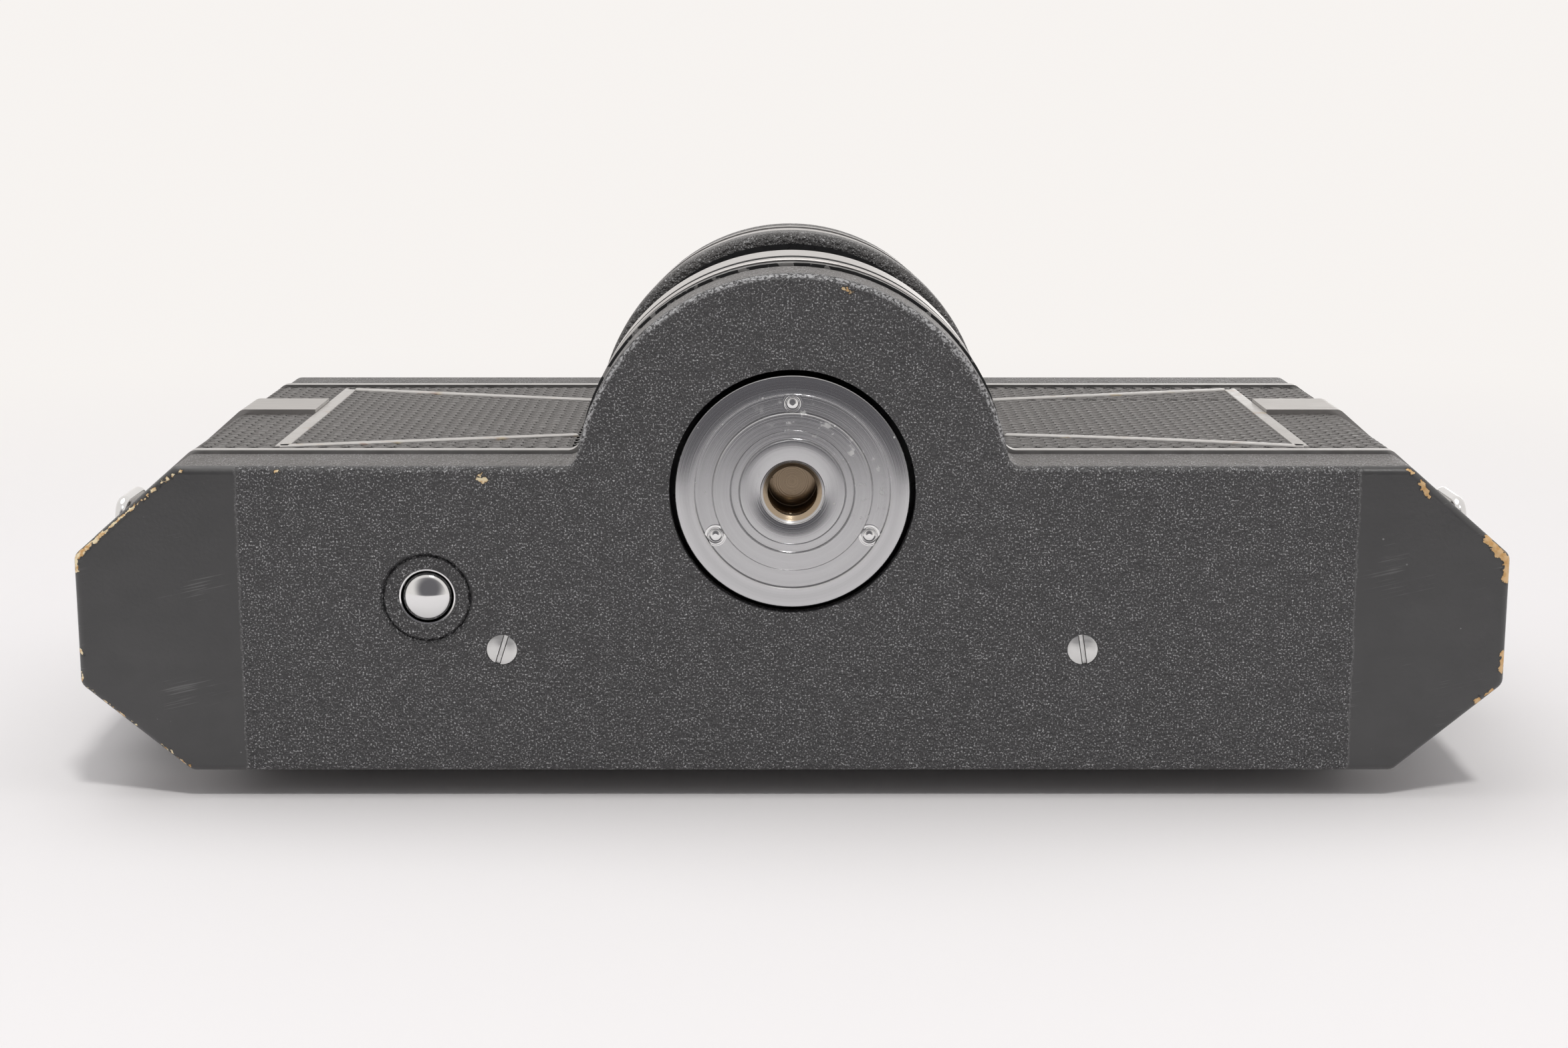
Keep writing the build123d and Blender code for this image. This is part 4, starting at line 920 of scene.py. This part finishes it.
def diamondSheet(length, low, high, notch=None):  # flat in X and Y, raised along Z, in mm
    bm = bmesh.new()
    wide, tall = diamond["wide"], diamond["tall"]
    count = 2 * math.ceil(length / (2 * wide) + (high - low) / (2 * tall)) + 2
    bmesh.ops.create_grid(bm, x_segments=count, y_segments=count, size=count / 2)
    bm.transform(turn(45))
    bm.transform(Matrix.Diagonal((wide / math.sqrt(2), tall / math.sqrt(2), 1, 1)))
    bm.transform(Matrix.Translation((length / 2, (low + high) / 2, 0)))
    for at, way in (((0, 0), (-1, 0)), ((length, 0), (1, 0)), ((0, low), (0, -1)), ((0, high), (0, 1))):
        cutSheet(bm, at, way, True)
    if notch:
        fromX, toX, fromY, toY = notch
        for at, way in (((fromX, 0), (1, 0)), ((toX, 0), (1, 0)), ((0, fromY), (0, 1)), ((0, toY), (0, 1))):
            cutSheet(bm, at, way)
        middles = [(face, face.calc_center_median()) for face in bm.faces]
        inside = [face for face, spot in middles if fromX < spot.x < toX and fromY < spot.y < toY]
        bmesh.ops.delete(bm, geom=inside, context="FACES")
    stages = ((diamond["slope"], diamond["rise"], -1.0), (diamond["crown"], diamond["crownRise"], 0.1))
    for slope, rise, above in stages:  # a pad on the flat sheet, and a crown on what stands above it
        pads = [f for f in bm.faces if f.calc_area() > diamond["least"] and f.calc_center_median().z > above]
        bmesh.ops.inset_individual(bm, faces=pads, thickness=slope, depth=rise, use_even_offset=True)
    skirt = bmesh.ops.extrude_edge_only(bm, edges=[e for e in bm.edges if e.is_boundary])
    bmesh.ops.translate(bm, vec=(0, 0, -diamond["skirt"]), verts=newVerts(skirt))
    return bm


def layLeather(name, corners, low, high, body, mirrored=False, notch=None):
    pieces = walkOutline(corners)
    length = sum(piece[1] for piece in pieces)
    bm = diamondSheet(length, low, high, notch)
    padHeight = bm.verts.layers.float.new("padHeight")
    for vert in bm.verts:
        vert[padHeight] = vert.co.z / (diamond["rise"] + diamond["crownRise"])
        place, out = outlinePlace(pieces, vert.co.x)
        place = place + out * (vert.co.z + diamond["lift"])
        vert.co = Vector((-place.x if mirrored else place.x, place.y, vert.co.y)) * mm
    if mirrored:
        bmesh.ops.reverse_faces(bm, faces=bm.faces)
    piece = meshPiece(name, bm, finishes["leather"], 50)
    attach(piece, body)


outline = {
    "halfWidth": 75.0, "frontY": -2.65, "frontFlat": 64.15, "frontCorner": 6.76, "frontStart": 23.2,
    "frontLength": 55.2, "low": 10.45, "high": 57.8, "rightEndY": 20.3, "leftEndY": 18.7,
    "latch": (9.0, 13.4, 47.0, 56.9), "doorHalf": 61.95, "panelY": 32.6, "doorLow": 11.95, "doorHigh": 57.25,
}
half, low, high = outline["halfWidth"], outline["low"], outline["high"]
frontRun = [(outline["frontStart"], outline["frontY"]), (outline["frontFlat"], outline["frontY"])]
frontRun.append((half, outline["frontCorner"]))
latchNear, latchFar, latchLow, latchHigh = outline["latch"]  # distances past the front, and heights
latchNotch = (outline["frontLength"] + latchNear, outline["frontLength"] + latchFar, latchLow, latchHigh)
rightRun, leftRun = (frontRun + [(half, outline[end])] for end in ("rightEndY", "leftEndY"))
layLeather("diamondsRight", rightRun, low, high, "camera_body", notch=latchNotch)
layLeather("diamondsLeft", leftRun, low, high, "camera_body", mirrored=True)
doorRun = [(x, outline["panelY"]) for x in (outline["doorHalf"], -outline["doorHalf"])]
layLeather("diamondsDoor", doorRun, outline["doorLow"], outline["doorHigh"], "door")
print("leatherette")


# Dials, knobs and their generic numbers

def onCircle(at, radius, degrees, z):
    angle = math.radians(degrees)
    return shift(at[0] + radius * math.cos(angle), at[1] + radius * math.sin(angle), z)


def numbers(words, radius, height, at, z, spread):  # round a dial's top, the first one at the back
    angles = [90 - i * spread for i in range(len(words))]
    return lettering([(word, height, onCircle(at, radius, angle, z) @ turn(angle - 90))
                      for word, angle in zip(words, angles)])


def ticks(count, radius, length, width, at, z, spread):
    angles = [90 - i * spread for i in range(count)]
    return joined([(bar(length, width, 0.06, 0.01), onCircle(at, radius - length / 2, angle, z) @ turn(angle))
                   for angle in angles])


dial = {
    "speed": (-31.0, 19.0), "aperture": (31.0, 19.0), "top": 74.02, "coverTop": 69.32, "mark": 7.9,
    "wind": (-57.65, 13.7), "counterTop": 78.42, "rewind": (57.65, 13.7), "rewindTop": 77.62,
    "speeds": ["2", "30", "60", "125", "250"], "apertures": ["2.8", "4", "5.6", "8", "11", "16"],
    "frames": ["0", "5", "10", "15", "20"],
}
speedNumbers = numbers(dial["speeds"], 3.4, 1.35, dial["speed"], dial["top"], 40.0)
apertureNumbers = numbers(dial["apertures"], 3.3, 1.2, dial["aperture"], dial["top"], 30.0)
counterNumbers = numbers(dial["frames"], 4.6, 1.7, dial["wind"], dial["counterTop"], 72.0)
counterTicks = ticks(25, 7.0, 0.8, 0.14, dial["wind"], dial["counterTop"], 14.4)
addPiece("speedNumbers", speedNumbers, "speed_dial", "blackInk")
addPiece("apertureNumbers", apertureNumbers, "aperture_dial", "blackInk")
addPiece("counterNumbers", counterNumbers, "counter", "blackInk")
addPiece("counterTicks", counterTicks, "counter", "blackInk")


def pointer(size):
    bm = bmesh.new()
    radius = size * mm
    bmesh.ops.create_cone(bm, cap_ends=True, segments=3, radius1=radius, radius2=radius, depth=0.06 * mm)
    return bm


indexMarks = [(pointer(0.7), shift(dial[name][0], dial[name][1] + dial["mark"], dial["coverTop"]))
              for name in ("speed", "aperture")]
addPiece("indexMarks", joined(indexMarks), "camera_body", "whiteInk")


def rewindArrow():
    band = [(5.2, -0.03), (5.7, -0.03), (5.7, 0.03), (5.2, 0.03)]
    shaft = turned(band, closed=True, start=20, sweep=140, steps=36)
    tip = onCircle((0, 0), 5.45, 16, 0) @ turn(-74)
    return joined([(shaft, Matrix.Identity(4)), (pointer(1.1), tip)])


arrowPlace = shift(*dial["rewind"], dial["rewindTop"])
addPiece("rewindArrow", rewindArrow(), "rewinder", "blackInk", arrowPlace)


# Lens: front ring with its grooves, and the rings inside the barrel

lensRing = {"faceY": -16.8, "height": 35.0, "outer": 8.3, "inner": 7.1}


def lensFront():
    outer, inner = lensRing["outer"], lensRing["inner"]
    profile = [(inner, 0.0), (inner, 0.25)] + arc(inner + 0.25, 0.25, 0.25, 180, 90, 3)
    profile += [(outer - 0.6, 0.5), (outer - 0.5, 0.36), (outer - 0.4, 0.36), (outer - 0.3, 0.5)]
    profile += arc(outer - 0.2, 0.3, 0.2, 90, 0, 3) + [(outer, 0.0)]
    return turned(profile, closed=True, steps=96)


facingFront = shift(0, lensRing["faceY"], lensRing["height"]) @ turn(90, "X")
addPiece("lensFrontRing", lensFront(), "drum", "darkSteel", facingFront)


def barrelSteps():
    parts = []
    for i, radius in enumerate((6.9, 6.5, 6.1, 5.7)):
        deep = -0.32 * i
        profile = [(radius + 0.35, deep - 0.3), (radius - 0.05, deep - 0.3), (radius - 0.05, deep - 0.12),
                   (radius + 0.12, deep - 0.06), (radius + 0.35, deep - 0.06)]
        parts.append((turned(profile, closed=True, steps=72), Matrix.Identity(4)))
    return joined(parts)


addPiece("barrelSteps", barrelSteps(), "drum", "satinBlack", facingFront)


# Viewfinder: window frame, and the spirit level's bubble

finder = {
    "halfWidth": 11.4, "low": 73.5, "high": 84.3, "frontY": -16.8, "line": 0.9, "depth": 1.1,
    "lean": 1.2 / 16.2, "levelY": -6.5, "levelTop": 87.7, "bubble": (1.15, 1.15, 0.22),
}


def windowFrame():
    bm = bmesh.new()
    bmesh.ops.create_grid(bm, x_segments=1, y_segments=1, size=1.0)
    tall = (finder["high"] - finder["low"]) / 2
    bmesh.ops.scale(bm, vec=(finder["halfWidth"] * mm, tall * mm, 1), verts=bm.verts)
    bmesh.ops.inset_individual(bm, faces=bm.faces, thickness=finder["line"] * mm, use_even_offset=True)
    opening = min(bm.faces, key=lambda f: f.calc_center_median().length)
    bmesh.ops.delete(bm, geom=[opening], context="FACES")
    grown = bmesh.ops.extrude_face_region(bm, geom=list(bm.faces))
    bmesh.ops.translate(bm, vec=(0, 0, finder["depth"] * mm), verts=newVerts(grown))
    bmesh.ops.recalc_face_normals(bm, faces=bm.faces)
    return bevelled(bm, list(bm.edges), 0.12)


def bubble():
    bm = bmesh.new()
    bmesh.ops.create_uvsphere(bm, u_segments=32, v_segments=16, radius=1.0)
    bmesh.ops.scale(bm, vec=Vector(finder["bubble"]) * mm, verts=bm.verts)
    return bm


upright = turn(90 - math.degrees(math.atan(finder["lean"])), "X")
windowPlace = shift(0, finder["frontY"] + 1.0, (finder["low"] + finder["high"]) / 2) @ upright
addPiece("windowFrame", windowFrame(), "camera_body", "satinBlack", windowPlace)
bubblePlace = shift(0.25, finder["levelY"] - 0.15, finder["levelTop"])
addPiece("levelBubble", bubble(), "camera_body", "chrome", bubblePlace)
levelRing = turned([(1.9, -0.03), (2.05, -0.03), (2.05, 0.03), (1.9, 0.03)], closed=True, steps=64)
ringPlace = shift(0, finder["levelY"], finder["levelTop"] + 0.02)
addPiece("levelRing", levelRing, "camera_body", "blackInk", ringPlace)
print("dials, lens and finder")
